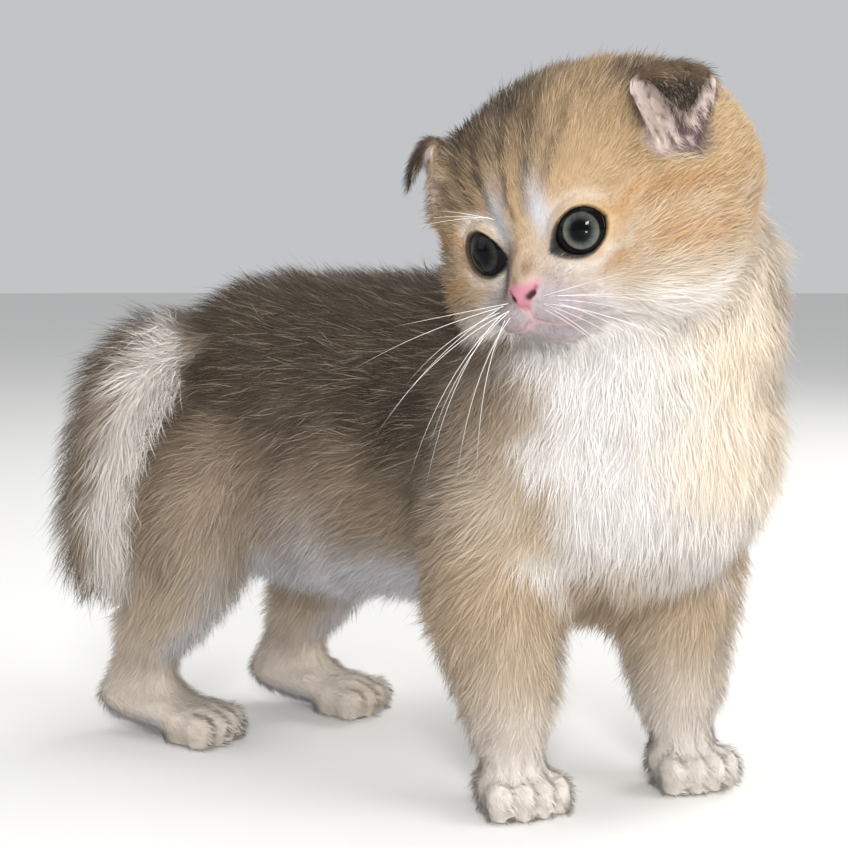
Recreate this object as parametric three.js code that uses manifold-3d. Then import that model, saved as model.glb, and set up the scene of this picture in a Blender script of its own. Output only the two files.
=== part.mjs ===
// A Scottish Fold kitten about eight weeks old, standing with its head turned to its right.
// Millimetres, +Z up, the floor at z = 0. Its body points along +X, chest first, and its right side faces -Y.
// Every surface here is the outside of the coat. The figure is shaped whole, then parted with thin cuts.
import * as THREE from "three";
import { mergeVertices } from "three/addons/utils/BufferGeometryUtils.js";
import Module from "manifold-3d";

const wasm = await Module();
wasm.setup();

// Driving dimensions
const CUT = 0.3; // width of the gap between neighbouring nodes
const BACK_HEIGHT = 124; // floor to the top of the back
const BELLY_HEIGHT = 38; // floor to the belly
const FORELEG_GAP = 47; // between the middles of the forefeet
const HEAD_PLACE = new THREE.Vector3(57.5, -12.5, 135.5);
const HEAD_TURN = -89; // degrees from +X, towards the kitten's right
const HEAD_NOD = 10; // degrees, nose down
const HEAD_TILT = 11; // degrees, right side down
const EYE_RADIUS = 8;
const EYE_SPREAD = 10.7; // middle of the face to the middle of each eye
const EYE_FORWARD = 20.4;
const EYE_HEIGHT = -2.4;
const EYE_TURN = 17; // degrees each eye looks outwards
const EYE_WIDTH = 12.2; // corner to corner of the open lids
const EYE_TALL = 10.4; // between the lids
const LID_THICKNESS = 1;
const ORBIT_FORWARD = 13; // the hollow round each eye is a ball this far in front of the eyeball's middle
const ORBIT_RADIUS = 8.5;
const ORBIT_SOFTNESS = 7;
const EAR_LEAN = { left: -0.13, right: 0.4 }; // how far each ear leans to the kitten's left as it rises
const EAR_REACH = { left: 9, right: 7 }; // how far each flap stands out from its cup
const EAR_PLACE = new THREE.Vector3(14.8, 32.4, 8.8); // the notch of the left ear, in the head's frame
const EAR_HEIGHT = 17; // notch to fold
const EAR_FLAP = 14.5; // fold to tip
const EAR_WIDTH = 19;
const EAR_DEPTH = 9; // front to back of the cup
const EAR_ROLL = 105; // degrees each way that the cup is bent at its foot
const EAR_SPREAD = 66; // and at the fold
const EAR_THICKNESS = 2.2;
const PAW_WIDTH = 22;
const TOE_LENGTH = 12;
const FOREFEET_MIDDLE = [50.5, 1, 0];
const FORE_HEADING = THREE.MathUtils.degToRad(-24); // the way the forefeet point, from +X
const HINDFEET_MIDDLE = [-60, 4, 0];
const HIND_HEADING = THREE.MathUtils.degToRad(12);

// The whole is moved by this much at the end, so that its box stands centred on the origin.
const SHIFT = new THREE.Vector3(-1.35, -2.6, 0);

// Coat and skin colours
function coat(colour) {
  return new THREE.MeshStandardMaterial({ color: colour, roughness: 0.9, metalness: 0 });
}
const GOLD_COAT = coat(0xcfae85);
const BROWN_COAT = coat(0x877359);
const CREAM_COAT = coat(0xd7be9b);
const WHITE_COAT = coat(0xe6dccd);
const EAR_SKIN = coat(0xb98f80);
const EYE_SURFACE = new THREE.MeshStandardMaterial({ color: 0x3a4140, roughness: 0.06, metalness: 0 });

// Small helpers

const degrees = THREE.MathUtils.degToRad;
const point = (x, y, z) => new THREE.Vector3(x, y, z);

// A closed three.js geometry as a solid that can be joined and cut.
function solid(geometry) {
  const bare = geometry.clone();
  bare.deleteAttribute("normal");
  bare.deleteAttribute("uv");
  const merged = mergeVertices(bare, 1e-4);
  const vertProperties = new Float32Array(merged.attributes.position.array);
  const triVerts = new Uint32Array(merged.index.array);
  const made = new wasm.Manifold(new wasm.Mesh({ numProp: 3, vertProperties, triVerts }));
  if (made.volume() > 0) return made;
  triVerts.reverse(); // a surface swept the other way round faces in, so each face is turned over
  return new wasm.Manifold(new wasm.Mesh({ numProp: 3, vertProperties, triVerts }));
}

// The largest closed surface of a solid.
function largest(body) {
  return body.decompose().sort((a, b) => b.volume() - a.volume())[0];
}

function join(bodies) {
  return bodies.reduce((whole, next) => whole.add(next));
}

// Hangs a solid in a group as a named mesh with its own place. The solid is given in the figure's frame.
function addMesh(parent, name, body, material, place = new THREE.Matrix4()) {
  const data = largest(body).getMesh();
  const geometry = new THREE.BufferGeometry();
  geometry.setAttribute("position", new THREE.BufferAttribute(new Float32Array(data.vertProperties), 3));
  geometry.setIndex(new THREE.BufferAttribute(new Uint32Array(data.triVerts), 1));
  const mesh = new THREE.Mesh(geometry, material);
  mesh.name = name;
  place.decompose(mesh.position, mesh.quaternion, mesh.scale);
  parent.add(mesh);
  mesh.updateWorldMatrix(true, false);
  geometry.applyMatrix4(mesh.matrixWorld.clone().invert());
  geometry.computeVertexNormals();
}

function ball(centre, radii, around = 14, down = 10) {
  const geometry = new THREE.SphereGeometry(1, around, down);
  geometry.scale(...radii);
  geometry.translate(...centre);
  return geometry;
}

// A rounded body along a curve. Each station gives a middle, half sizes across and along `upright`.
function loft({ stations, upright, around, rows, capRows = 3, swell = 0 }) {
  const smooth = (points) => new THREE.CatmullRomCurve3(points, false, "centripetal");
  const path = smooth(stations.map((s) => point(...s.at)));
  const sizes = smooth(stations.map((s) => point(s.across, s.deep, 0)));
  const geometry = new THREE.SphereGeometry(1, around, rows);
  const positions = geometry.attributes.position;
  const length = path.getLength();
  const last = stations.length - 1;
  const startCap = Math.min(0.45, Math.min(stations[0].across, stations[0].deep) / length);
  const endCap = Math.min(0.45, Math.min(stations[last].across, stations[last].deep) / length);
  for (let i = 0; i < positions.count; i += 1) {
    const row = Math.floor(i / (around + 1));
    const angle = (2 * Math.PI * (i % (around + 1))) / around;
    let along;
    let roundness = 1;
    if (row <= capRows) {
      const turn = (Math.PI / 2) * (row / capRows);
      along = startCap * (1 - Math.cos(turn));
      roundness = Math.sin(turn);
    } else if (row >= rows - capRows) {
      const turn = (Math.PI / 2) * ((rows - row) / capRows);
      along = 1 - endCap * (1 - Math.cos(turn));
      roundness = Math.sin(turn);
    } else {
      const step = (row - capRows) / (rows - 2 * capRows);
      along = THREE.MathUtils.lerp(startCap, 1 - endCap, step);
    }
    const share = path.getUtoTmapping(along);
    const middle = path.getPoint(share);
    const size = sizes.getPoint(share);
    const forward = path.getTangent(share);
    const across = new THREE.Vector3().crossVectors(upright, forward).normalize();
    const up = new THREE.Vector3().crossVectors(forward, across);
    const place = middle
      .addScaledVector(across, (size.x + swell) * roundness * Math.cos(angle))
      .addScaledVector(up, (size.y + swell) * roundness * Math.sin(angle));
    positions.setXYZ(i, place.x, place.y, place.z);
  }
  return geometry;
}

const station = (x, y, z, across, deep) => ({ at: [x, y, z], across, deep });

// The trunk

function trunk() {
  const middle = (BACK_HEIGHT + BELLY_HEIGHT) / 2;
  const half = (BACK_HEIGHT - BELLY_HEIGHT) / 2;
  return loft({
    upright: point(0, 0, 1),
    around: 26,
    rows: 26,
    capRows: 5,
    stations: [
      station(-92, 5, middle + 7, 22, half - 14),
      station(-78, 7, middle + 5, 30, half - 6),
      station(-55, 10, middle + 1, 35, half),
      station(-20, 14, middle - 1, 38, half + 1),
      station(12, 15, middle - 1, 39, half),
      station(39, 13, middle - 1, 45, half),
      station(58, 6, middle - 2, 44, half - 2),
      station(73, -4, middle - 2, 34, half - 11),
    ],
  });
}

// The neck and the fluff of the chest under it, down to between the forelegs.
function neck() {
  return loft({
    upright: point(0.7, -0.7, 0),
    around: 24,
    rows: 18,
    stations: [
      station(54, 2, 44, 22, 19),
      station(54, 2, 60, 34, 26),
      station(54, 2, 78, 41, 31),
      station(56, 2, 96, 39, 31),
      station(61, 2, 114, 33.5, 28),
      station(63, 0, 131, 31, 26),
      station(62, -3, 150, 27, 23),
    ],
  });
}

// Legs. Each runs from inside the trunk to the paw.

function paw(x, y, turn, height) {
  const pieces = [ball([0, 0, height * 0.45], [PAW_WIDTH * 0.5, PAW_WIDTH * 0.47, height * 0.62], 12, 8)];
  const spread = PAW_WIDTH * 0.24;
  for (const step of [-1.5, -0.5, 0.5, 1.5]) {
    const reach = PAW_WIDTH * (0.35 - 0.04 * step ** 2);
    const radii = [TOE_LENGTH * 0.5, PAW_WIDTH * 0.17, height * 0.44];
    pieces.push(ball([reach, step * spread, height * 0.38], radii, 9, 6));
  }
  return join(pieces.map((piece) => solid(piece.rotateZ(turn).translate(x, y, 0))));
}

function foreleg(side) {
  const heading = FORE_HEADING;
  const middle = point(...FOREFEET_MIDDLE);
  const across = point(-Math.sin(heading), Math.cos(heading), 0);
  const foot = middle.clone().addScaledVector(across, (side * FORELEG_GAP) / 2);
  const shoulder = middle.clone().addScaledVector(across, side * 20);
  const upper = solid(
    loft({
      upright: point(Math.cos(heading), Math.sin(heading), 0),
      around: 18,
      rows: 16,
      stations: [
        station(shoulder.x - 8, shoulder.y + 3, 92, 18, 21),
        station(shoulder.x - 4, shoulder.y + 2 + side, 70, 22, 22),
        station(foot.x - 3, foot.y + side, 48, 19, 18),
        station(foot.x - 1, foot.y, 28, 14.5, 14.5),
        station(foot.x, foot.y, 8, 12, 12),
      ],
    }),
  );
  return upper.add(paw(foot.x + 2, foot.y - 1, heading, 15));
}

function hindLeg(side) {
  const heading = HIND_HEADING;
  const foot = side < 0 ? point(-70, -20, 0) : point(-60, 28, 0);
  const hip = side < 0 ? point(-62, -8, 88) : point(-62, 24, 88);
  const thigh = solid(
    loft({
      upright: point(1, 0, 0),
      around: 18,
      rows: 15,
      stations: [
        station(hip.x, hip.y, hip.z, 21, 24),
        station(foot.x + 12, foot.y + side * 1, 64, 18.5, 22.5),
        station(foot.x + 7, foot.y, 46, 15.5, 19),
        station(foot.x - 3, foot.y - 2, 29, 12, 14.5),
        station(foot.x - 10, foot.y - 3, 16, 10, 11),
      ],
    }),
  );
  const heel = point(foot.x - 21, foot.y - 4, 18);
  const shank = solid(
    loft({
      upright: point(0, 0, 1),
      around: 14,
      rows: 11,
      stations: [
        station(heel.x, heel.y, heel.z, 10, 12),
        station(foot.x - 8, foot.y - 2, 13, 10.5, 11),
        station(foot.x + 9, foot.y, 8, 11, 8),
      ],
    }),
  );
  return thigh.add(shank).add(paw(foot.x + 10, foot.y, heading, 14));
}

// The tail leaves the top of the rump and hangs beside the right thigh.
function tail(swell = 0) {
  return loft({
    upright: point(0.65, -0.75, 0.1),
    around: 16,
    rows: 18,
    capRows: 4,
    swell,
    stations: [
      station(-72.5, 2, 99, 12, 12),
      station(-74, -14.5, 102, 14, 14),
      station(-74, -27.5, 93, 15.5, 15.5),
      station(-74, -34.5, 77, 15.5, 15.5),
      station(-75, -39, 59, 13.5, 13.5),
      station(-76.5, -40.5, 38, 9.5, 9.5),
    ],
  });
}

// The head, in its own frame: +X out of the face, +Y to the kitten's left, +Z to the crown

const headPlace = new THREE.Matrix4().compose(
  HEAD_PLACE,
  new THREE.Quaternion().setFromEuler(
    new THREE.Euler(degrees(HEAD_TILT), degrees(HEAD_NOD), degrees(HEAD_TURN), "ZYX"),
  ),
  point(1, 1, 1),
);

// Rounded masses that melt into each other to make the head: middle, half sizes, softness of the join.
const HEAD_MASSES = [
  { name: "skull", at: [-3, 0, 4], radii: [33.5, 38.3, 29], soft: 0 },
  { name: "left cheek", at: [7, 17, -11], radii: [19, 18.5, 15], soft: 8 },
  { name: "right cheek", at: [7, -17, -11], radii: [19, 18.5, 15], soft: 8 },
  { name: "muzzle", at: [21, 0, -13.5], radii: [13, 12, 9], soft: 9 },
  { name: "left lip pad", at: [26, 5.4, -16.3], radii: [8, 7, 5.5], soft: 3 },
  { name: "right lip pad", at: [26, -5.4, -16.3], radii: [8, 7, 5.5], soft: 3 },
  { name: "chin", at: [20, 0, -20.5], radii: [10, 8.5, 5.5], soft: 3 },
  { name: "bridge of the nose", at: [21.5, 0, -8], radii: [12, 4.8, 6], soft: 6 },
  { name: "nose leather", at: [33, 0, -12.6], radii: [3, 3.8, 2.6], soft: 1 },
];

function roundDistance(p, mass) {
  const x = (p.x - mass.at[0]) / mass.radii[0];
  const y = (p.y - mass.at[1]) / mass.radii[1];
  const z = (p.z - mass.at[2]) / mass.radii[2];
  const reach = Math.hypot(x, y, z);
  const slope = Math.hypot(x / mass.radii[0], y / mass.radii[1], z / mass.radii[2]);
  return (reach * (reach - 1)) / Math.max(slope, 1e-9);
}

// The nearer of two surfaces, rounded off where they are about as near as each other.
function melt(first, second, soft) {
  const overlap = Math.max(soft - Math.abs(first - second), 0);
  return Math.min(first, second) - (overlap * overlap) / (4 * soft);
}

const eyeMiddle = (side) => point(EYE_FORWARD, side * EYE_SPREAD, EYE_HEIGHT);
const eyeAxis = (side) => point(1, side * Math.tan(degrees(EYE_TURN)), 0.05).normalize();

function headDistance(p) {
  let distance = roundDistance(p, HEAD_MASSES[0]);
  for (const mass of HEAD_MASSES.slice(1)) distance = melt(distance, roundDistance(p, mass), mass.soft);
  for (const side of [-1, 1]) {
    const orbit = eyeMiddle(side).addScaledVector(eyeAxis(side), ORBIT_FORWARD);
    distance = -melt(-distance, p.distanceTo(orbit) - ORBIT_RADIUS, ORBIT_SOFTNESS);
    distance = melt(distance, p.distanceTo(eyeMiddle(side)) - EYE_RADIUS - LID_THICKNESS, 2);
  }
  return distance;
}

// The place on the head's surface in front of a point of the face, seen from the middle of the head.
function onFace(across, height) {
  const start = point(8, 0, -8);
  const ray = point(35, across, height).sub(start).normalize();
  let near = 5;
  let far = 60;
  for (let step = 0; step < 26; step += 1) {
    const reach = (near + far) / 2;
    if (headDistance(start.clone().addScaledVector(ray, reach)) < 0) near = reach;
    else far = reach;
  }
  return start.addScaledVector(ray, near);
}

// A thin round bar along places on the face, to be cut out of it as a groove.
function faceGroove(places, radius) {
  const path = new THREE.CatmullRomCurve3(places.map(([across, height]) => onFace(across, height)));
  const outline = new THREE.Shape();
  outline.absarc(0, 0, radius, 0, 2 * Math.PI);
  const steps = 3 * (places.length - 1);
  return new THREE.ExtrudeGeometry(outline, { steps, curveSegments: 3, extrudePath: path });
}

// The line of the closed mouth from corner to corner, the cleft under the nose and the nostrils.
function mouthAndNose() {
  const lips = [
    [-12, -22.6],
    [-8.5, -23.2],
    [-4.5, -22],
    [0, -19],
    [4.5, -22],
    [8.5, -23.2],
    [12, -22.6],
  ];
  const cleft = [
    [0, -19],
    [0, -17],
    [0, -15],
  ];
  const nostrils = [-2.1, 2.1].map((across) => ball(onFace(across, -12.6).toArray(), [1.4, 0.9, 0.6], 8, 6));
  return join([faceGroove(lips, 0.55), faceGroove(cleft, 0.45), ...nostrils].map(placed));
}

// The open eye as a flat outline, with the tear corner towards the nose, swept along the way the eye looks.
function eyeOpening(side) {
  const wide = EYE_WIDTH;
  const tall = EYE_TALL;
  const outline = new THREE.Shape();
  outline.moveTo(-wide * 0.56, -tall * 0.24);
  outline.bezierCurveTo(-wide * 0.46, tall * 0.42, wide * 0.2, tall * 0.8, wide * 0.5, tall * 0.16);
  outline.bezierCurveTo(wide * 0.52, -tall * 0.5, -wide * 0.16, -tall * 0.72, -wide * 0.56, -tall * 0.24);
  const geometry = new THREE.ExtrudeGeometry(outline, { depth: 12, bevelEnabled: false, curveSegments: 10 });
  if (side < 0) geometry.scale(-1, 1, 1);
  geometry.rotateX(Math.PI / 2);
  geometry.rotateZ(Math.PI / 2 + side * degrees(EYE_TURN));
  geometry.translate(...eyeMiddle(side).toArray());
  return geometry;
}

// A sphere with its pole at the nose and its rows closest on the face, drawn out to the head's surface.
function headSurface(swell = 0, around = 50, rows = 35) {
  const geometry = new THREE.SphereGeometry(1, around, rows);
  const positions = geometry.attributes.position;
  const middle = point(2, 0, -5);
  const pole = point(1, 0, -0.24).normalize();
  const side = point(0, 1, 0);
  const up = new THREE.Vector3().crossVectors(pole, side);
  for (let i = 0; i < positions.count; i += 1) {
    const row = Math.floor(i / (around + 1)) / rows;
    const bend = Math.PI * (0.55 * row + 0.45 * row ** 2.4);
    const angle = (2 * Math.PI * (i % (around + 1))) / around;
    const ray = new THREE.Vector3()
      .addScaledVector(pole, Math.cos(bend))
      .addScaledVector(side, Math.sin(bend) * Math.cos(angle))
      .addScaledVector(up, Math.sin(bend) * Math.sin(angle));
    let near = 5;
    let far = 60;
    for (let step = 0; step < 26; step += 1) {
      const reach = (near + far) / 2;
      if (headDistance(middle.clone().addScaledVector(ray, reach)) < 0) near = reach;
      else far = reach;
    }
    const place = middle.clone().addScaledVector(ray, near + swell);
    positions.setXYZ(i, place.x, place.y, place.z);
  }
  return geometry;
}

// Something made in the head's frame, as a solid in the figure's frame.
function placed(geometry) {
  return solid(geometry.applyMatrix4(headPlace));
}

// The head with its eye sockets, the opening between each pair of lids, nostrils and line of the mouth.
function openFace(head) {
  let open = head.subtract(mouthAndNose());
  for (const side of [-1, 1]) {
    const socket = ball(eyeMiddle(side).toArray(), Array(3).fill(EYE_RADIUS + CUT), 20, 12);
    open = open.subtract(placed(socket)).subtract(placed(eyeOpening(side)));
  }
  return open;
}

// An ear is one thin sheet, bent into a cup that widens upwards, then folded forwards and down.
// Its own frame: +Z from the notch to the fold, +Y out of the cup.
function earSheet(reach) {
  const middleLine = new THREE.CatmullRomCurve3(
    [
      point(0, -2.4, -2.2),
      point(0, -0.9, 2),
      point(0, 0.5, EAR_HEIGHT - 8),
      point(0, 2, EAR_HEIGHT - 2.5),
      point(0, reach * 0.56, EAR_HEIGHT - 0.3),
      point(0, reach * 0.87, EAR_HEIGHT - EAR_FLAP * 0.25),
      point(0, reach, EAR_HEIGHT - EAR_FLAP * 0.65),
      point(0, reach * 0.94, EAR_HEIGHT - EAR_FLAP),
    ],
    false,
    "centripetal",
  );
  const geometry = new THREE.SphereGeometry(1, 18, 16);
  geometry.rotateX(Math.PI / 2); // the poles go to the notch and the tip
  const positions = geometry.attributes.position;
  for (let i = 0; i < positions.count; i += 1) {
    const unit = new THREE.Vector3().fromBufferAttribute(positions, i);
    const height = THREE.MathUtils.clamp((1 - unit.z) / 2, 0, 1);
    const reach = Math.sqrt(Math.max(1 - unit.z ** 2, 0));
    const across = reach > 1e-6 ? unit.x / reach : 0;
    const flap = THREE.MathUtils.clamp((height - 0.58) / 0.42, 0, 1);
    const opening = THREE.MathUtils.lerp(0.14, 1, Math.min(height / 0.4, 1)) * (1 - flap) ** 0.8;
    const width = EAR_WIDTH * 0.55 * opening;
    const depth = EAR_DEPTH * 0.55 * opening;
    const roll = THREE.MathUtils.lerp(EAR_ROLL, EAR_SPREAD, THREE.MathUtils.smoothstep(height, 0, 0.5));
    const turn = across * degrees(roll);
    const middle = middleLine.getPointAt(height);
    const along = middleLine.getTangentAt(height);
    const inwards = point(0, along.z, -along.y);
    const thickness = (EAR_THICKNESS / 2) * Math.sign(unit.y) * Math.sqrt(Math.abs(unit.y));
    const place = middle
      .addScaledVector(inwards, depth * (1 - Math.cos(turn)) + thickness * Math.cos(turn))
      .add(point((width - thickness) * Math.sin(turn), 0, 0));
    positions.setXYZ(i, place.x, place.y, place.z);
  }
  return geometry;
}

function earPlace(side) {
  const up = point(-0.37, side > 0 ? EAR_LEAN.left : EAR_LEAN.right, 0.92).normalize();
  const out = point(0.62, 0.76 * side, 0.2);
  out.addScaledVector(up, -out.dot(up)).normalize();
  const across = new THREE.Vector3().crossVectors(out, up);
  const notch = point(EAR_PLACE.x, EAR_PLACE.y * side, EAR_PLACE.z);
  return new THREE.Matrix4().makeBasis(across, out, up).setPosition(notch);
}

// Rooms. All of the figure inside the room of a node belongs to that node, and `extra` widens it by the cut.

function boxRoom(middle, size, turns, extra) {
  const geometry = new THREE.BoxGeometry(...size.map((length) => length + 2 * extra));
  const rotation = new THREE.Quaternion().setFromEuler(new THREE.Euler(...turns.map(degrees), "ZYX"));
  geometry.applyQuaternion(rotation);
  geometry.translate(...middle);
  return solid(geometry);
}

// Room for a leg: below a slope that rises outwards from the crotch to the hip or shoulder.
function legRoom({ middle, heading, side, crotch, top, front, back }, extra) {
  const outline = new THREE.Shape();
  outline.moveTo(1 - extra, -5);
  outline.lineTo(1 - extra, crotch + extra);
  outline.lineTo(40, top + 1.5 * extra);
  outline.lineTo(80, top + 1.5 * extra);
  outline.lineTo(80, -5);
  const depth = front - back + 2 * extra;
  const geometry = new THREE.ExtrudeGeometry(outline, { depth, bevelEnabled: false });
  geometry.translate(0, 0, back - extra);
  geometry.applyMatrix4(new THREE.Matrix4().makeBasis(point(0, side, 0), point(0, 0, 1), point(1, 0, 0)));
  geometry.rotateZ(heading);
  geometry.translate(...middle);
  return solid(geometry);
}

const FORE = { middle: FOREFEET_MIDDLE, heading: FORE_HEADING, crotch: 40, top: 86, front: 24, back: -26 };
const HIND = { middle: HINDFEET_MIDDLE, heading: HIND_HEADING, crotch: 46, top: 96, front: 32, back: -50 };
const NECK_ROOM = [62, -12, 141];
const headAndGap = placed(headSurface(CUT + 0.6, 34, 25));

// In the order in which they are cut off the figure. The torso is what is left.
const PARTS = [
  { name: "head", coat: GOLD_COAT, room: (extra) => (extra ? headAndGap : placed(headSurface())) },
  { name: "neck", coat: WHITE_COAT, room: (extra) => boxRoom(NECK_ROOM, [100, 100, 80], [21, 20, 0], extra) },
  { name: "tail", coat: BROWN_COAT, room: (extra) => solid(tail(1.5 * extra)) },
  { name: "foreleg_right", coat: CREAM_COAT, room: (extra) => legRoom({ ...FORE, side: -1 }, extra) },
  { name: "foreleg_left", coat: CREAM_COAT, room: (extra) => legRoom({ ...FORE, side: 1 }, extra) },
  { name: "hind_leg_right", coat: CREAM_COAT, room: (extra) => legRoom({ ...HIND, side: -1 }, extra) },
  { name: "hind_leg_left", coat: CREAM_COAT, room: (extra) => legRoom({ ...HIND, side: 1 }, extra) },
];

const floorBlock = solid(new THREE.BoxGeometry(600, 600, 60).translate(0, 0, -30));
const legs = [foreleg(-1), foreleg(1), hindLeg(-1), hindLeg(1)];
const masses = [trunk(), neck(), tail()].map(solid);
let figure = join([...masses, ...legs, placed(headSurface())]).subtract(floorBlock);

const group = new THREE.Group();
group.name = "scottish_fold_kitten";
const headGroup = new THREE.Group();
headPlace.decompose(headGroup.position, headGroup.quaternion, headGroup.scale);
group.add(headGroup);

for (const { name, coat: material, room } of PARTS) {
  const body = figure.intersect(room(0));
  figure = figure.subtract(room(CUT));
  if (name === "head") addMesh(headGroup, name, openFace(body), material);
  else addMesh(group, name, body, material);
}
addMesh(group, "torso", figure, BROWN_COAT);

for (const [name, side] of [["left", 1], ["right", -1]]) {
  const ear = solid(earSheet(EAR_REACH[name]).applyMatrix4(earPlace(side)).applyMatrix4(headPlace)).subtract(headAndGap);
  addMesh(headGroup, `ear_${name}`, ear, EAR_SKIN, earPlace(side));
  const eye = new THREE.Mesh(new THREE.SphereGeometry(EYE_RADIUS, 20, 12), EYE_SURFACE);
  eye.name = `eye_${name}`;
  eye.position.copy(eyeMiddle(side));
  headGroup.add(eye);
}
group.position.copy(SHIFT);

export default group;
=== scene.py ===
"""A golden shaded Scottish Fold kitten, standing: one skin under a coat of fine tufts, wet eyes and whiskers.

Lengths are in millimetres until a mesh is made, and every mesh is made in metres.
"""

import math

import bmesh
import bpy
import numpy as np
from mathutils import Euler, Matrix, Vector
from mathutils.kdtree import KDTree


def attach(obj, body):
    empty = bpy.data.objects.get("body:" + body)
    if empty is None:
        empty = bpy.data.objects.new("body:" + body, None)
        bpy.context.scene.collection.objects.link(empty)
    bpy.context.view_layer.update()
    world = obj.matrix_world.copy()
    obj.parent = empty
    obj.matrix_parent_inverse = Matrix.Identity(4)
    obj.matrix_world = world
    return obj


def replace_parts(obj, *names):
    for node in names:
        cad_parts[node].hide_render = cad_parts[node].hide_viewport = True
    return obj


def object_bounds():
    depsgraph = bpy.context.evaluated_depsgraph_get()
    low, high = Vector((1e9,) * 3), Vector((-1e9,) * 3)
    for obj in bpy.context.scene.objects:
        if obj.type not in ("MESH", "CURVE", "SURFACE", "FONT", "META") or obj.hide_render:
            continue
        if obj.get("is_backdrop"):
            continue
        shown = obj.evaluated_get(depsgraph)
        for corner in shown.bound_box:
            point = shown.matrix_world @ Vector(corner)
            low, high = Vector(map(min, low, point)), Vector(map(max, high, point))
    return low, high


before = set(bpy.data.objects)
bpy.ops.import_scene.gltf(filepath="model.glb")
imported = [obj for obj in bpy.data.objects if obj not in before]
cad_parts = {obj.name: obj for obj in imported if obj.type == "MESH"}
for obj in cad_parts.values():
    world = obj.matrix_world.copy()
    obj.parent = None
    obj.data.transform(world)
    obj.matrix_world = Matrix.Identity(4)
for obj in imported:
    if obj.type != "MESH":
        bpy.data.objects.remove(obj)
bounds_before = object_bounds()

# Driving dimensions, in millimetres and degrees
SEED = 7
SHIFT = np.array([-1.35, -2.6, 0.0])  # puts the middle of the figure over the shared frame's origin
HEAD_PLACE = np.array([57.5, -12.5, 135.5]) + SHIFT
HEAD_TURN, HEAD_NOD, HEAD_TILT = -89.0, 10.0, 11.0
EYE_RADIUS = 8.0
EYE_PLACE = (20.4, 10.7, -2.4)  # left eye's middle in the head's frame
EYE_TURN = 17.0
GAZE = {1: 20.0, -1: -10.0}  # the way the left and the right eye look, to the kitten's left
EYE_WIDTH, EYE_TALL = 12.2, 10.4
NOSE = np.array([34.0, 0.0, -12.6])
FORE_TURN, HIND_TURN = -24.0, 12.0  # the way the feet point, from +x
FORE_PAWS = ((62.1, 21.5, FORE_TURN), (42.9, -21.5, FORE_TURN))
HIND_PAWS = ((-50.0, 28.0, HIND_TURN), (-60.0, -20.0, HIND_TURN))
PAWS = FORE_PAWS + HIND_PAWS
TOE_PITCH = 5.3
TOE_GROOVE = 1.5
CAMERA_AZIMUTH, CAMERA_ELEVATION = 38.0, 5.0
CAMERA_DISTANCE = 475.0
CAMERA_TARGET = np.array([0.0, 0.0, 84.6]) + SHIFT
SENSOR_WIDTH = 36.0
FOCAL_LENGTH, PICTURE_SIDE = 1935, 848  # both in pixels

FLESH = ("head", "neck", "torso", "tail", "foreleg_left", "foreleg_right", "hind_leg_left", "hind_leg_right")
EARS = ("ear_left", "ear_right")
LABELS = FLESH + EARS
NODE = {name: number for number, name in enumerate(LABELS)}

# How the coat grows on each kind of part: depth the skin lies under the coat's outside, hair length,
# angle off the skin in degrees, width of a tuft, and how densely it grows, against the other parts.
COAT_KEYS = ("depth", "length", "lift", "width", "density")
COAT = {
    "head": (2.4, 5.4, 24, 0.17, 5.2),
    "neck": (5.5, 10.0, 33, 0.16, 3.8),
    "torso": (6.0, 9.6, 34, 0.17, 2.8),
    "tail": (6.0, 11.0, 34, 0.18, 3.0),
    "foreleg": (4.2, 8.5, 36, 0.17, 3.2),
    "hind_leg": (4.4, 8.5, 35, 0.17, 3.0),
    "ear": (0.3, 3.1, 22, 0.12, 7.5),
}

rng = np.random.default_rng(SEED)


# Small helpers


def rgb(red, green, blue):
    """An sRGB colour of 0 to 255 as linear light."""
    value = np.array([red, green, blue], float) / 255
    return np.where(value <= 0.04045, value / 12.92, ((value + 0.055) / 1.055) ** 2.4)


def ramp(value, low, high):
    """Rises smoothly from 0 at low to 1 at high, which may be the smaller of the two."""
    share = clamp((value - low) / (high - low))
    return share * share * (3 - 2 * share)


def blend(first, second, share):
    return first * (1 - share) + second * share


def mix(first, second, share):
    """Blends colours or places, with one share for each row."""
    share = np.asarray(share)
    if np.ndim(first) > 1 or np.ndim(second) > 1 or share.ndim == 1:
        share = share[:, None]
    return blend(first, second, share)


def layered(colour, *layers):
    """Colours laid over each other, each as far as its share says."""
    for paint, share in layers:
        colour = mix(colour, paint, share)
    return colour


def clamp(values):
    return np.clip(values, 0, 1)


def norm(vectors):
    return np.linalg.norm(vectors, axis=1)


def unit(vectors):
    return vectors / np.maximum(np.linalg.norm(vectors, axis=-1, keepdims=True), 1e-9)


def bell(value, width):
    """1 where the value is 0, falling off to both sides."""
    return np.exp(-((value / width) ** 2))


def spot(points, middle, radii):
    """A soft rounded patch: 1 at its middle, falling off over its three radii."""
    return bell(norm((points - np.array(middle)) / np.array(radii)), 1.0)


def wave_noise(points, size, seed):
    """Smooth noise of about -1 to 1 at each point, as a sum of waves in random directions."""
    waves = np.random.default_rng(seed)
    total = np.zeros(len(points))
    for _ in range(10):
        direction = waves.normal(size=3)
        direction *= (0.6 + 0.9 * waves.random()) / np.linalg.norm(direction)
        total += np.sin(points @ direction * (2 * math.pi / size) + waves.random() * 6.28)
    return total / 3.2


HEAD_ANGLES = [math.radians(angle) for angle in (HEAD_TILT, HEAD_NOD, HEAD_TURN)]
HEAD_AXES = np.array(Euler(HEAD_ANGLES, "XYZ").to_matrix())


def to_head(points):
    """Points of the shared frame in the head's frame: x out of the face, y to its left, z to the crown."""
    return (points - HEAD_PLACE) @ HEAD_AXES


def from_head(points):
    return np.asarray(points) @ HEAD_AXES.T + HEAD_PLACE


# The head as rounded masses that melt into each other, in its own frame, as the solid head is made

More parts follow.
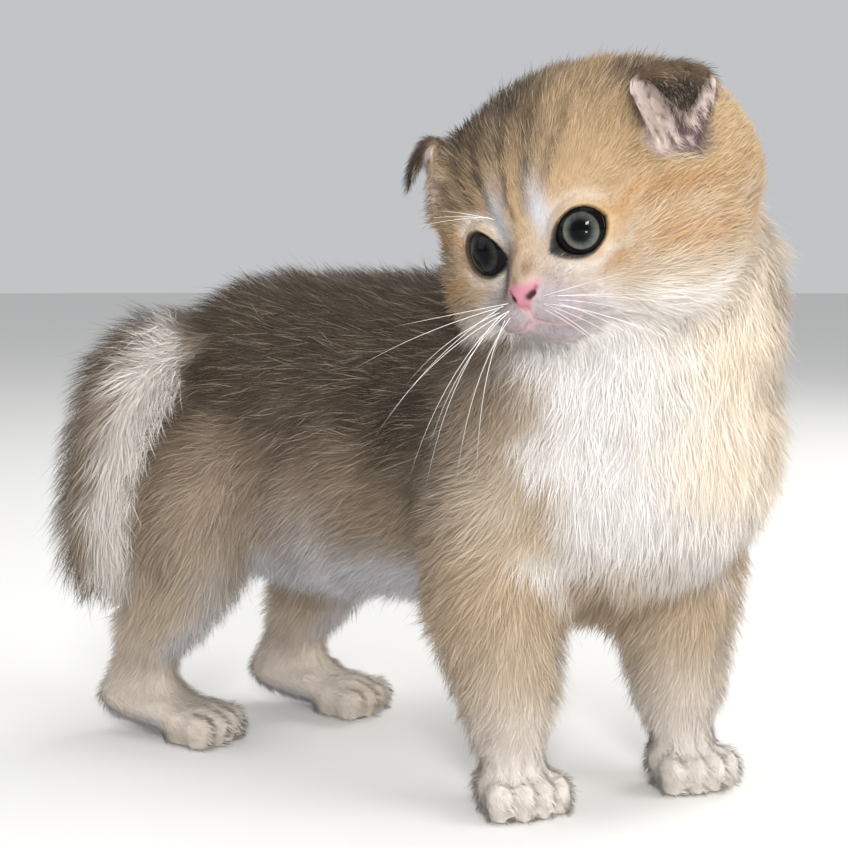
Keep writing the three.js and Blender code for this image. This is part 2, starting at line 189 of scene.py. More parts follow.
SKULL = ((-3, 0, 4), (33.5, 38.3, 29))
HEAD_MASSES = (
    ((7, 17, -11), (19, 18.5, 15), 8),
    ((7, -17, -11), (19, 18.5, 15), 8),
    ((21, 0, -13.5), (13, 12, 9), 9),
    ((26, 5.4, -16.3), (8, 7, 5.5), 3),
    ((26, -5.4, -16.3), (8, 7, 5.5), 3),
    ((20, 0, -20.5), (10, 8.5, 5.5), 3),
    ((21.5, 0, -8), (12, 4.8, 6), 6),
    ((33, 0, -12.6), (3, 3.8, 2.6), 1),
)
ORBIT_AHEAD, ORBIT_RADIUS, ORBIT_MELT = 13.0, 8.5, 7.0  # the ball that hollows the head before each eye
LID_THICK, LID_MELT = 1.0, 2.0


def round_distance(points, middle, radii):
    at = (points - np.array(middle)) / np.array(radii)
    reach = norm(at)
    slope = norm(at / np.array(radii))
    return reach * (reach - 1) / np.maximum(slope, 1e-9)


def melt(first, second, soft):
    overlap = np.maximum(soft - np.abs(first - second), 0)
    return np.minimum(first, second) - overlap * overlap / (4 * soft)


def eye_middle(side):
    return np.array([EYE_PLACE[0], EYE_PLACE[1] * side, EYE_PLACE[2]])


def eye_axes(side, degrees=EYE_TURN):
    """The eye's own axes in the head's frame: the way it looks, towards its outer corner, and up."""
    turn = math.radians(degrees)
    look = np.array([math.cos(turn), side * math.sin(turn), 0])
    outwards = np.array([-math.sin(turn), side * math.cos(turn), 0])
    return look, outwards, np.array([0, 0, 1.0])


def head_distance(points):
    """Distance from the head's surface, below 0 inside it, with hollows for the eyes and lids round them."""
    distance = round_distance(points, *SKULL)
    for middle, radii, soft in HEAD_MASSES:
        distance = melt(distance, round_distance(points, middle, radii), soft)
    for side in (-1, 1):
        look = unit(np.array([1, side * math.tan(math.radians(EYE_TURN)), 0.05]))
        hollow = norm(points - eye_middle(side) - ORBIT_AHEAD * look) - ORBIT_RADIUS
        distance = -melt(-distance, hollow, ORBIT_MELT)
        lids = norm(points - eye_middle(side)) - EYE_RADIUS - LID_THICK
        distance = melt(distance, lids, LID_MELT)
    return distance


def onto_head(points, depth, rounds=6):
    """Moves points of the head's frame onto the surface that lies `depth` inside the head."""
    step = 0.05
    for _ in range(rounds):
        distance = head_distance(points) + depth
        steps = step * np.eye(3)
        rises = [head_distance(points + way) - head_distance(points - way) for way in steps]
        slope = np.stack(rises, 1) / (2 * step)
        size = np.maximum((slope**2).sum(1), 0.25)
        points = points - slope * (distance / size)[:, None]
    return points


def bezier(start, first, second, end, count=14):
    share = np.linspace(0, 1, count, endpoint=False)[:, None]
    rest = 1 - share
    corners = [np.array(corner, float) for corner in (start, first, second, end)]
    return (
        rest**3 * corners[0]
        + 3 * rest**2 * share * corners[1]
        + 3 * rest * share**2 * corners[2]
        + share**3 * corners[3]
    )


def eye_outline():
    """The open lids as a flat closed line: outwards and up from the eye's middle."""
    wide, tall = EYE_WIDTH, EYE_TALL
    inner = (-wide * 0.56, -tall * 0.24)
    outer = (wide * 0.5, tall * 0.16)
    upper = bezier(inner, (-wide * 0.46, tall * 0.42), (wide * 0.2, tall * 0.8), outer)
    lower = bezier(outer, (wide * 0.52, -tall * 0.5), (-wide * 0.16, -tall * 0.72), inner)
    return np.concatenate([upper, lower])


def line_distance(points, line, closed=False):
    """How far each point is from a line of straight pieces, in as many dimensions as both have."""
    ends = np.roll(line, -1, 0) if closed else line[1:]
    starts = line if closed else line[:-1]
    nearest = np.full(len(points), np.inf)
    for start, end in zip(starts, ends):
        along = end - start
        share = clamp((points - start) @ along / (along @ along))
        nearest = np.minimum(nearest, norm(points - start - share[:, None] * along))
    return nearest


def inside_outline(points, outline):
    inside = np.zeros(len(points), bool)
    for start, end in zip(outline, np.roll(outline, -1, 0)):
        crosses = (start[1] > points[:, 1]) != (end[1] > points[:, 1])
        rise = end[1] - start[1]
        at = start[0] + (points[:, 1] - start[1]) * (end[0] - start[0]) / (rise if rise else 1e-9)
        inside ^= crosses & (points[:, 0] < at)
    return inside


EYE_REGION = 20.0
FAR = 99.0


def lid_distance(points, side):
    """Distance over the face from the edge of an eye's lids, below 0 on the open eye. Far points give FAR."""
    look, outwards, up = eye_axes(side)
    away = points - eye_middle(side)
    near = (norm(away) < EYE_REGION) & (away @ look > 0)
    flat = np.stack([away[near] @ outwards, away[near] @ up], 1)
    outline = eye_outline()
    found = line_distance(flat, outline, closed=True)
    found[inside_outline(flat, outline)] *= -1
    distance = np.full(len(points), FAR)
    distance[near] = found
    return distance


def both_lids_distance(head):
    return np.minimum(lid_distance(head, 1), lid_distance(head, -1))


RIM_WIDTH = 0.62
RIM_MORE_INSIDE, RIM_MORE_OUTSIDE = 0.55, 0.7


def rim_width(head):
    """How far the bare dark rim reaches from the lids: furthest by the nose, and outside the right eye."""
    width = np.full(len(head), RIM_WIDTH)
    for side in (-1, 1):
        _, outwards, up = eye_axes(side)
        away = head - eye_middle(side)
        inner_low = ramp(-0.75 * (away @ outwards) - 0.65 * (away @ up), -1, 5)
        outer = ramp(away @ outwards, 1, 5) if side < 0 else 0
        width += (RIM_MORE_INSIDE * inner_low + RIM_MORE_OUTSIDE * outer) * (head[:, 1] * side > 0)
    return width


FACE_CORE = np.array([8.0, 0, -8])  # a point in the head that the whole face can be seen from
FACE_AHEAD = 35.0
NEAREST, FURTHEST = 5.0, 60.0


def on_face(places):
    """Places across and up the face, as points on the head's surface."""
    aims = np.array([[FACE_AHEAD, across, height] for across, height in places])
    rays = unit(aims - FACE_CORE)
    near, far = np.full(len(rays), NEAREST), np.full(len(rays), FURTHEST)
    for _ in range(26):
        reach = (near + far) / 2
        within = head_distance(FACE_CORE + rays * reach[:, None]) < 0
        near, far = np.where(within, reach, near), np.where(within, far, reach)
    return FACE_CORE + rays * near[:, None]


# Lines on the face, as places across and up it: half of the lips, the cleft, and a nostril
HALF_LIP = [(2, -20.2), (4.5, -22), (8.5, -23.2), (12, -22.6)]
LIP_LINE = on_face([(-across, height) for across, height in reversed(HALF_LIP)] + [(0, -19)] + HALF_LIP)
CLEFT_LINE = on_face([(0, -19), (0, -17), (0, -15.2)])
NOSTRIL_LINE = np.array([(1.9, -12.8), (2.9, -12.2), (3.7, -11.2)])


def nostril_distances(head, side):
    """Distances from the slit of a nostril and from its outer curl."""
    hole = on_face(NOSTRIL_LINE * np.array([side, 1]))
    return line_distance(head, hole[:2]), line_distance(head, hole[1:])


# The skin


def read_array(items, key, width, kind):
    """A property of all vertices, edges or triangles of a mesh, with one row for each."""
    values = np.empty(len(items) * width, kind)
    items.foreach_get(key, values)
    return values.reshape(-1, width)


def mesh_places(mesh):
    return read_array(mesh.vertices, "co", 3, np.float32).astype(float) * 1000


def mesh_triangles(mesh):
    mesh.calc_loop_triangles()
    return read_array(mesh.loop_triangles, "vertices", 3, np.int32)


def node_solid(name):
    """Corner places and triangles of a node, with the corners that share a place made one."""
    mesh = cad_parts[name].data
    places = mesh_places(mesh)
    _, first, joined = np.unique(np.round(places, 3), axis=0, return_index=True, return_inverse=True)
    triangles = joined.reshape(-1)[mesh_triangles(mesh)]
    whole = (triangles != np.roll(triangles, 1, 1)).all(1)
    return places[first], triangles[whole]


def vertex_normals(places, triangles):
    a, b, c = (places[triangles[:, k]] for k in range(3))
    faces = np.cross(b - a, c - a)
    normals = np.zeros_like(places)
    for axis in range(3):
        for corner in range(3):
            normals[:, axis] += np.bincount(triangles[:, corner], faces[:, axis], len(places))
    return unit(normals)


def random_on(places, triangles, weights, count):
    """Random triangle numbers and shares of their corners, in proportion to the weights."""
    a, b, c = (places[triangles[:, k]] for k in range(3))
    area = norm(np.cross(b - a, c - a)) / 2 * weights
    chosen = np.searchsorted(np.cumsum(area), rng.random(count) * area.sum())
    chosen = np.minimum(chosen, len(triangles) - 1)
    shares = rng.random((count, 2))
    shares = np.where((shares.sum(1) > 1)[:, None], 1 - shares, shares)
    return chosen, np.concatenate([1 - shares.sum(1, keepdims=True), shares], 1)


def smooth_shaded(mesh):
    mesh.polygons.foreach_set("use_smooth", np.ones(len(mesh.polygons), bool))


def mesh_from(name, places, faces):
    """A mesh in metres from places in millimetres and an array of faces of one size."""
    mesh = bpy.data.meshes.new(name)
    size = faces.shape[1]
    mesh.vertices.add(len(places))
    mesh.vertices.foreach_set("co", (places * 0.001).astype(np.float32).ravel())
    mesh.loops.add(faces.size)
    mesh.loops.foreach_set("vertex_index", faces.astype(np.int32).ravel())
    mesh.polygons.add(len(faces))
    mesh.polygons.foreach_set("loop_start", np.arange(0, faces.size, size, dtype=np.int32))
    mesh.update(calc_edges=True)
    return mesh


def add_object(name, mesh):
    thing = bpy.data.objects.new(name, mesh)
    bpy.context.scene.collection.objects.link(thing)
    return thing


def add_piece(mesh, material, slot):
    """Puts a finished mesh in the scene as a piece of the kitten, under the mesh's own name."""
    mesh.materials.append(material)
    piece = add_object(mesh.name, mesh)
    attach(piece, "root")
    return piece


SWELL = 0.22  # closes the gaps between the nodes before they are fused
VOXEL = 1.0  # grid of the fused skin before the face is refined
MARKS = 2500  # labelled points on each node
SOCKET_ROOM = 0.5  # round each eye


def eye_ball_surface(side):
    """A plain ball that fills an eye socket, so that the fused skin has no hole there."""
    bpy.ops.mesh.primitive_uv_sphere_add(segments=24, ring_count=16, radius=1)
    ball = bpy.context.object
    corners = mesh_places(ball.data) / 1000 * (EYE_RADIUS + SOCKET_ROOM)
    triangles = mesh_triangles(ball.data)
    bpy.data.objects.remove(ball)
    return from_head(corners + eye_middle(side)), triangles


def fused_nodes():
    """All flesh and ear nodes as one closed mesh of small even faces, and points labelled by node."""
    parts, marks = [], []
    for name in LABELS:
        corners, triangles = node_solid(name)
        parts.append((corners + SWELL * vertex_normals(corners, triangles), triangles))
        chosen, shares = random_on(corners, triangles, 1, MARKS)
        marks.append((corners[triangles[chosen]] * shares[:, :, None]).sum(1))
    parts += [eye_ball_surface(side) for side in (-1, 1)]
    starts = np.cumsum([0] + [len(corners) for corners, _ in parts])
    places = np.concatenate([corners for corners, _ in parts])
    faces = np.concatenate([triangles + start for (_, triangles), start in zip(parts, starts)])
    rough = add_object("rough", mesh_from("rough", places, faces))
    remesh = rough.modifiers.new("fuse", "REMESH")
    remesh.mode = "VOXEL"
    remesh.voxel_size = VOXEL * 0.001
    fused = bpy.data.meshes.new_from_object(rough.evaluated_get(bpy.context.evaluated_depsgraph_get()))
    bpy.data.objects.remove(rough)
    return fused, np.concatenate(marks), np.repeat(np.arange(len(LABELS)), MARKS)


def edit(mesh, change):
    """Opens a mesh, lets a function change it, and writes it back."""
    work = bmesh.new()
    work.from_mesh(mesh)
    work.verts.ensure_lookup_table()
    change(work)
    work.to_mesh(mesh)
    work.free()


def refine(mesh, wanted):
    """Splits in four the faces whose corners are all wanted."""
    chosen = set(np.flatnonzero(wanted).tolist())

    def split(work):
        edges = [edge for edge in work.edges if all(corner.index in chosen for corner in edge.verts)]
        bmesh.ops.subdivide_edges(work, edges=edges, cuts=1, use_grid_fill=True)
        bmesh.ops.triangulate(work, faces=[face for face in work.faces if len(face.verts) > 4])

    edit(mesh, split)


class Neighbours:
    """Which vertices of a mesh are joined, for smoothing values over its surface."""

    def __init__(self, mesh):
        edges = read_array(mesh.edges, "vertices", 2, np.int32)
        both = np.concatenate([edges, edges[:, ::-1]])
        both = both[np.argsort(both[:, 0], kind="stable")]
        self.to = both[:, 1]
        self.count = np.bincount(both[:, 0], minlength=len(mesh.vertices))
        self.start = np.concatenate([[0], np.cumsum(self.count)[:-1]])

    def mean(self, values):
        return np.add.reduceat(values[self.to], self.start, axis=0) / (
            self.count if values.ndim == 1 else self.count[:, None]
        )

    def smooth(self, values, rounds, weight=0.5):
        for _ in range(rounds):
            values = values + weight * (self.mean(values) - values)
        return values


def largest_surface(mesh):
    """Leaves only the largest connected surface of a mesh."""
    neighbours = Neighbours(mesh)
    group = np.arange(len(mesh.vertices))
    while True:
        lowest = np.minimum(group, np.minimum.reduceat(group[neighbours.to], neighbours.start))
        lowest = lowest[lowest]
        if (lowest == group).all():
            break
        group = lowest
    names, sizes = np.unique(group, return_counts=True)
    loose = np.flatnonzero(group != names[np.argmax(sizes)])

    def drop(work):
        bmesh.ops.delete(work, geom=[work.verts[number] for number in loose], context="VERTS")

    if len(loose):
        edit(mesh, drop)


def label_weights(places, marks, labels, neighbours, rounds):
    """For each vertex, how much it belongs to each node, softened over the borders."""
    tree = KDTree(len(marks))
    for number, mark in enumerate(marks):
        tree.insert(mark, number)
    tree.balance()
    nearest = np.array([tree.find(place)[1] for place in places])
    weights = np.zeros((len(places), len(LABELS)))
    weights[np.arange(len(places)), labels[nearest]] = 1
    return neighbours.smooth(weights, rounds)


def toe_lines(places):
    """How deep each point lies in the furrows between the toes, from 0 to 1."""
    x, y, z = (places - SHIFT).T
    furrow = np.zeros(len(places))
    for foot_x, foot_y, heading in PAWS:
        turn = math.radians(heading)
        ahead = (x - foot_x) * math.cos(turn) + (y - foot_y) * math.sin(turn)
        across = (y - foot_y) * math.cos(turn) - (x - foot_x) * math.sin(turn)
        front = ramp(ahead, 2, 6) * (np.abs(across) < 14) * (ahead < 20)
        for number in (-1, 0, 1):
            furrow = np.maximum(furrow, bell(across - number * TOE_PITCH, 0.9) * front)
    return furrow * ramp(z, 15, 12)


# Boxes of the head's frame, the same on both sides: lowest and highest x, distance from the middle, and z
FACE_BOX = ((6, 99), (-1, 31), (-34, 18))
NOSE_AND_MOUTH_BOX = ((20, 99), (-1, 14), (-27, -8))


def in_box(head, box):
    values = (head[:, 0], np.abs(head[:, 1]), head[:, 2])
    return np.all([(value > low) & (value < high) for value, (low, high) in zip(values, box)], axis=0)


def refine_face(mesh):
    """Splits the faces of the face once, and those by the lids, nose and mouth once more."""
    refine(mesh, in_box(to_head(mesh_places(mesh)), FACE_BOX))
    head = to_head(mesh_places(mesh))
    refine(mesh, (np.abs(both_lids_distance(head)) < 3) | in_box(head, NOSE_AND_MOUTH_BOX))


def coat_value(weights, key):
    """One of the coat's numbers at each point, from the point's share in each node."""
    column = COAT_KEYS.index(key)
    kinds = [name.removesuffix("_left").removesuffix("_right") for name in LABELS]
    return sum(weights[:, number] * COAT[kind][column] for number, kind in enumerate(kinds))


def skin_depth(skin, places, near_ear):
    """How far the skin lies inside the solids: the coat's depth, less by the nose, lids, feet and ears."""
    depth = coat_value(skin.weights, "depth")
    from_nose = norm(to_head(places) - NOSE)
    depth = np.minimum(depth, 0.25 + 0.055 * np.maximum(from_nose - 2.5, 0))
    depth = np.minimum(depth, 0.05 + 0.14 * np.maximum(skin.lids, 0))
    depth = blend(depth, np.minimum(depth, 1.4), ramp(places[:, 2], 18, 6))
    depth = blend(depth, 0.25, clamp(near_ear * 1.6))
    depth = blend(depth, 0.15, ramp(places[:, 2], 1.6, 0.4))
    return skin.neighbours.smooth(depth, 6)


class Skin:
    """The skin's mesh with what the coat needs to know at each of its vertices."""


def build_skin():
    """Fuses the nodes, draws them in by the coat's depth, and shapes the face and the toes."""
    mesh, marks, labels = fused_nodes()
    largest_surface(mesh)
    refine_face(mesh)
    skin = Skin()
    skin.neighbours = Neighbours(mesh)
    skin.triangles = mesh_triangles(mesh)
    smooth = skin.neighbours.smooth
    places = mesh_places(mesh)
    skin.crisp = label_weights(places, marks, labels, skin.neighbours, 2)
    skin.weights = smooth(skin.crisp, 30)
    ear = sum(skin.crisp[:, NODE[name]] for name in EARS)
    toes = 0.85 * ramp(places[:, 2], 17, 11)
    places = mix(smooth(places, 22), smooth(places, 4), clamp(np.maximum(ear * 1.5, toes)))

    head = to_head(places)
    skin.lids = both_lids_distance(head)
    skin.lips = np.minimum(line_distance(head, LIP_LINE), line_distance(head, CLEFT_LINE))
    near_ear = smooth(clamp(ear * 3), 6)
    depth = skin_depth(skin, places, near_ear)
    inset = places - vertex_normals(places, skin.triangles) * (depth + SWELL)[:, None]
    share = smooth(ramp(skin.crisp[:, NODE["head"]], 0.5, 1.0) * (1 - clamp(near_ear * 2)), 3)
    moved = mix(inset, from_head(onto_head(head, depth)), share)
    places = mix(smooth(moved, 5), moved, clamp(np.maximum(np.maximum(share, ear), toes)))
    on_head = skin.weights[:, NODE["head"]]
    border = 4 * on_head * (1 - on_head) * ramp(to_head(places)[:, 2], 2, -12)
    places = mix(places, smooth(places, 60), clamp(1.3 * border) * (1 - clamp(2 * ear)))

    head = to_head(places)
    skin.nostrils = np.zeros(len(head))
    for side in (-1, 1):
        slit, curl = nostril_distances(head, side)
        skin.nostrils = np.maximum(skin.nostrils, np.maximum(bell(slit, 0.85), 0.8 * bell(curl, 0.6)))
    places = from_head(shape_face(head, share))
    skin.toes = toe_lines(places)
    skin.places = places - vertex_normals(places, skin.triangles) * (TOE_GROOVE * skin.toes)[:, None]
    skin.normals = vertex_normals(skin.places, skin.triangles)
    return skin


def shape_face(head, share):
    """Cuts the lids, lip line, cleft and nostrils into the face, in the head's frame."""
    for side in (-1, 1):
        away = head - eye_middle(side)
        reach = norm(away)
        distance = lid_distance(head, side)
        near = (distance < 4) & (share > 0.3)
        wanted = blend(7.2, np.maximum(reach, EYE_RADIUS + 0.85), ramp(distance, 0.0, 0.45))
        wanted = blend(wanted, reach, ramp(distance, 0.9, 3.5))
        wanted -= 0.35 * bell(distance - 2.6, 0.55) * ramp(away[:, 2], 0, 3)
        head = np.where(near[:, None], eye_middle(side) + unit(away) * wanted[:, None], head)
    inwards = unit(np.array([12.0, 0, -14]) - head)
    groove = 0.75 * bell(line_distance(head, LIP_LINE), 0.5)
    groove += 0.45 * bell(line_distance(head, CLEFT_LINE), 0.4)
    for side in (-1, 1):
        slit, curl = nostril_distances(head, side)
        groove += 1.2 * bell(slit, 0.62) + 0.5 * bell(curl, 0.45)
    near = (head[:, 0] > 18) & (share > 0.3)
    return head + inwards * (groove * near)[:, None]


# Markings, with some painted shade and light in them, shared by the skin and every tuft

GOLD = rgb(188, 158, 120)
PALE_GOLD = rgb(198, 181, 160)
CREAM = rgb(196, 178, 156)
WHITE = rgb(232, 227, 223)
BROWN = rgb(118, 98, 78)
# DARK_BROWN and GREY_BROWN are kept darker than the coat itself, partly as painted shade of the back.
DARK_BROWN = rgb(42, 31, 23)
GREY_BROWN = rgb(75, 63, 51)
TAN = rgb(167, 145, 123)
RUST = rgb(186, 138, 86)
NOSE_PINK = rgb(178, 118, 130)
NOSTRIL = rgb(58, 22, 30)
LIP_PINK = rgb(206, 150, 150)
EYE_RIM = rgb(10, 6, 7)
EAR_PINK = rgb(190, 172, 164)
EAR_MOTTLE = rgb(62, 36, 46)
EAR_TIP = rgb(24, 15, 9)
MUZZLE = rgb(172, 162, 166)
BLUE_WHITE = rgb(192, 193, 200)
BELLY = rgb(212, 210, 214)
TAIL_TOP = rgb(154, 139, 124)
TAIL_PALE = rgb(216, 209, 201)
EDGE_CREAM = rgb(250, 231, 206)
JAW = rgb(242, 235, 228)
EAR_CAP = rgb(104, 82, 60)
CROWN = rgb(82, 67, 52)
STRIPE = rgb(62, 46, 34)


def node_share(weights, *names):
    return clamp(sum(weights[:, NODE[name]] for name in names))


def trunk_colour(places, normals, patch, height):
    """Dark back, partly the coat's dark ticking and partly painted shade, tan flanks and thighs, and a pale
    belly.
    """
    x, y, z = (places - SHIFT).T
    # The dark patch over the back is partly the coat's dark ticking and partly painted shadow of the head.
    saddle_and_shade = ramp(x + 6 * patch, -50, 5) * ramp(height, 56, 96)
    shank = mix(CREAM, WHITE, ramp(z, 40, 6) * 0.4)
    thigh = mix(shank, mix(TAN, GREY_BROWN, 0.35), ramp(height, 36, 80))
    hind = ramp(-x + 3 * patch, 22, 45) * ramp(height, 92, 62)
    under = ramp(-normals[:, 2], 0.3, 0.8) * ramp(z, 66, 48)
    flank = bell(np.hypot(x + 24, (z - 46) * 0.8), 13) * (y < 10)
    # Darker up the back and where the coat faces up: partly the coat's dark tips, partly painted shade.
    return layered(
        mix(TAN, GREY_BROWN, ramp(height + 8 * normals[:, 2], 50, 104)),
        (DARK_BROWN, 0.85 * saddle_and_shade),
        (thigh, hind),
        (BELLY, np.maximum(under, 0.9 * flank)),
    )


def body_colour(places, normals, weights):
    """The trunk's colours, with gold forelegs, white chest, cream left shoulder brightened partly as painted
    light, dark nape and tail.
    """
    x, y, z = (places - SHIFT).T
    patch = wave_noise(places, 30, 11)
    fine = wave_noise(places, 9, 12)
    height = z + 4 * patch + 2 * fine
    leg = layered(
        PALE_GOLD,
        (WHITE, ramp(z, 46, 6) * 0.6),
        (mix(PALE_GOLD, GOLD, 0.45), bell(height - 52, 16)),
        (TAN, ramp(height, 74, 104) * 0.8),
    )
    inner = ramp(node_share(weights, "foreleg_left", "foreleg_right"), 0.4, 0.8)
    inner = inner * ramp(6 - np.abs(y + 0.45 * (x - 50)) + 2 * patch, 0, 8)
    angle = np.degrees(np.arctan2(y - 2, x - 40)) + 22
    front = ramp(46 - np.abs(angle) + 9 * patch + 4 * fine, -6, 14) * ramp(height, 50, 64)
    front *= ramp(x + 3 * fine, 34, 44)
    side = ramp(x + 0.7 * y + 5 * patch + 3 * fine, 56, 92) * ramp(x + 6 * patch, 18, 50) * ramp(z, 58, 84)
    nape = ramp(-x - 0.3 * y + 3 * patch, -44, -30) * ramp(z, 88, 108)
    below = ramp(0.93 * normals[:, 0] + 0.35 * normals[:, 1] + 0.2 * fine + 0.1 * patch, -0.15, 0.6)
    tail = mix(mix(TAIL_TOP, GREY_BROWN, 0.16 + 0.2 * patch), TAIL_PALE, below)
    return layered(
        trunk_colour(places, normals, patch, height),
        (leg, ramp(x + 0.25 * y + 3 * patch, 12, 40)),
        (WHITE, np.maximum(front, 0.4 * inner)),
        # Pale cream on the left shoulder and chest side, brighter than the white: partly its colour, partly
        # painted light.
        (EDGE_CREAM, 0.85 * side),
        (GREY_BROWN * 0.9, nape * 0.8),
        (tail, ramp(node_share(weights, "tail"), 0.3, 0.8)),
    )


# Stripes of the forehead: a line of places across and up the face, half its width, and its strength
FOREHEAD_STRIPES = (
    ([(-1.5, 3), (-2.5, 12), (-4, 26)], 1.035, 0.85),
    ([(2.5, 4), (3.5, 14), (3, 26)], 1.035, 0.75),
    ([(-7, 7), (-10, 14), (-12, 26)], 1.495, 0.95),
    ([(-12, 8), (-17, 15), (-20, 26)], 1.61, 0.95),
    ([(7, 8), (10, 15), (11, 26)], 1.15, 0.55),
    ([(-18, 7), (-24, 12), (-28, 20)], 1.84, 0.85),
)
EYE_STREAK = ([(18.5, 0), (25, 1.5), (33, 1)], 2.6)
CHEEK_STREAK = ([(17, -9), (23, -8), (32, -10)], 4.0)
NOSE_SPOTS = ((-1.2, -9.6), (1.8, -7.2))


def stripe(head, line, width):
    """How much of a point lies on a ragged stripe along a line of places across and up the face."""
    flat = head[:, 1:] + 0.5 * wave_noise(head, 5, 5)[:, None]
    broken = ramp(wave_noise(head, 6, 6) + 0.6 * wave_noise(head, 2.5, 7), -1.3, -0.2)
    return bell(line_distance(flat, np.array(line, float)), width) * broken


def eye_side_colour(colour, head, side):
    """Pale patches beside, over and under an eye, streaks behind it, and brown beside the nose, darker on the
    right partly as painted shade.
    """
    x, y, z = head.T
    lids = lid_distance(head, side)
    left = side > 0
    across = np.array([side, 1])
    return layered(
        colour,
        (BLUE_WHITE, 0.95 * bell(y - side * 5.0, 2.4) * bell(z - 3, 6.5) * ramp(x, 10, 18)),
        (WHITE, (0.3 if left else 0.55) * bell(lids - 2.2, 1.5) * ramp(z, -2, 3)),
        (RUST * 0.9, 0.7 * stripe(head, EYE_STREAK[0] * across, EYE_STREAK[1]) * (y * side > 15)),
        (RUST, 0.6 * stripe(head, CHEEK_STREAK[0] * across, CHEEK_STREAK[1]) * (y * side > 12)),
        (WHITE, 0.4 * bell(lids - 2.0, 1.4) * ramp(-z, 4, 8)),
        # Brown beside the nose, darker and at full strength on the right: partly marking, partly painted
        # shade.
        (
            BROWN if left else DARK_BROWN,
            (0.35 if left else 1.0) * bell(y - side * 5.2, 2.6) * bell(z + 7.5, 6) * ramp(x, 16, 22),
        ),
    )


def face_colour(head):
    """Gold with a brown crown and stripes, darker on the right partly as painted shade, and a white muzzle,
    chin and lower cheeks.
    """
    x, y, z = head.T
    patch = wave_noise(head, 14, 3)
    # Darker towards the kitten's right: partly the coat's colour, partly painted shade of the side turned
    # from the light.
    right = ramp(-y + 2 * patch, -12, 5)
    behind = ramp(-y + 4 * patch, -26, 10)
    colour = layered(
        mix(GOLD, PALE_GOLD, ramp(z + 3 * patch, 2, -12)),
        (mix(GOLD * 1.1, CROWN, 0.15 + 0.85 * right), ramp(z + 3 * patch, 8, 24)),
        (mix(GOLD * 1.15, CROWN, 0.1 + 0.8 * behind), ramp(-x, 2, 22) * ramp(z, -18, 2)),
    )
    for line, width, strength in FOREHEAD_STRIPES:
        colour = mix(colour, STRIPE, strength * stripe(head, line, width) * ramp(x, -10, 8))
    by_ear = spot(head, (2.5, 20.5, 26.5), (10, 9, 8))
    aside = 0.12 * np.abs(y) + 0.33 * np.maximum(np.abs(y) - 10, 0)
    white = ramp(-z - aside + 2 * patch, 5.5, 15) * ramp(x + 2 * patch, -4, 14)
    colour = layered(
        colour,
        (EAR_CAP * 0.65, clamp(1.3 * by_ear)),
        # Painted shade: the lower right side of the face darkened with tan.
        (TAN * 0.85, 0.8 * ramp(-y, 9, 24) * ramp(z, 8, -2)),
        (mix(JAW, MUZZLE, ramp(norm(head - NOSE), 24, 10)), white),
    )
    for side in (-1, 1):
        colour = eye_side_colour(colour, head, side)
    colour = mix(colour, TAN, 0.8 * bell(y, 3.0) * bell(z + 7.2, 3.4) * ramp(x, 20, 27))
    for across, height in NOSE_SPOTS:
        on_spot = bell(np.hypot(y - across, (z - height) / 1.3), 1.2) * (x > 20)
        colour = mix(colour, RUST * 0.4, 0.85 * on_spot)
    return colour


EAR_NOTCH = np.array([14.8, 32.4, 8.8])
EAR_FOLD = 17.0  # from the notch up to the fold
EAR_FRONT_EDGE = np.array([(10.9, 23.3, 23.5), (15.0, 27.0, 15.0), (17.3, 29.9, 8.3)])


def ear_axes(side):
    """The ear's own ways in the head's frame: out of its cup, and up from notch to fold."""
    up = unit(np.array([-0.37, -0.13 if side > 0 else 0.4, 0.92]))
    out = np.array([0.62, 0.76 * side, 0.2])
    return unit(out - (out @ up) * up), up


def ear_reach(head, side):
    """How far points are out of an ear's cup and up from its notch, and which points are near that ear."""
    out, up = ear_axes(side)
    away = head - EAR_NOTCH * np.array([1, side, 1])
    near = (head[:, 1] * side > 5) & (norm(away) < 32)
    return away @ out, away @ up, near


def ear_inside(places, normals, weights):
    """How much of a point is the pale inner side of an ear."""
    inside = np.zeros(len(places))
    head = to_head(places)
    for side, name in ((1, "ear_left"), (-1, "ear_right")):
        facing = normals @ HEAD_AXES @ ear_axes(side)[0]
        reach, height, _ = ear_reach(head, side)
        plate = ramp(facing, -0.1, 0.3) * (reach < 5.2)
        flap = ramp(-facing, 0.0, 0.35) * (reach > 4.2)
        low = ramp(height, EAR_FOLD - 2.5, EAR_FOLD - 4.5)
        inside += clamp(weights[:, NODE[name]] * 2 - 0.3) * np.maximum(plate, flap) * low
    return clamp(inside)


def ear_flap(head):
    """How much of a point is on the folded flap of an ear, and how near it is to the flap's tip."""
    flap, tip = np.zeros(len(head)), np.zeros(len(head))
    for side in (1, -1):
        reach, height, near = ear_reach(head, side)
        over = np.maximum(ramp(reach, 2.0, 5.0), ramp(height, EAR_FOLD - 4, EAR_FOLD - 1))
        flap = np.where(near, over, flap)
        tip = np.where(near, ramp(height, EAR_FOLD - 1, EAR_FOLD - 9) * ramp(reach, 2, 5), tip)
    return flap, tip


def ear_inside_colour(places):
    """Pinkish cream, brown along the front edge and with dark mottling by the notch."""
    head = to_head(places)
    head[:, 1] = np.abs(head[:, 1])
    notch = spot(head, (9.5, 33.2, 10.5), (4.95, 4.95, 6.05))
    grain = wave_noise(places, 3.2, 31) + 0.5 * wave_noise(places, 1.6, 32)
    mottle = ramp(0.6 * grain + 1.6 * notch, 0.55, 1.1)
    edge = bell(line_distance(head, EAR_FRONT_EDGE), 3.2) * ramp(grain, -0.8, 0.3)
    return layered(EAR_PINK, (BROWN, 0.75 * edge), (EAR_MOTTLE, 0.9 * mottle))


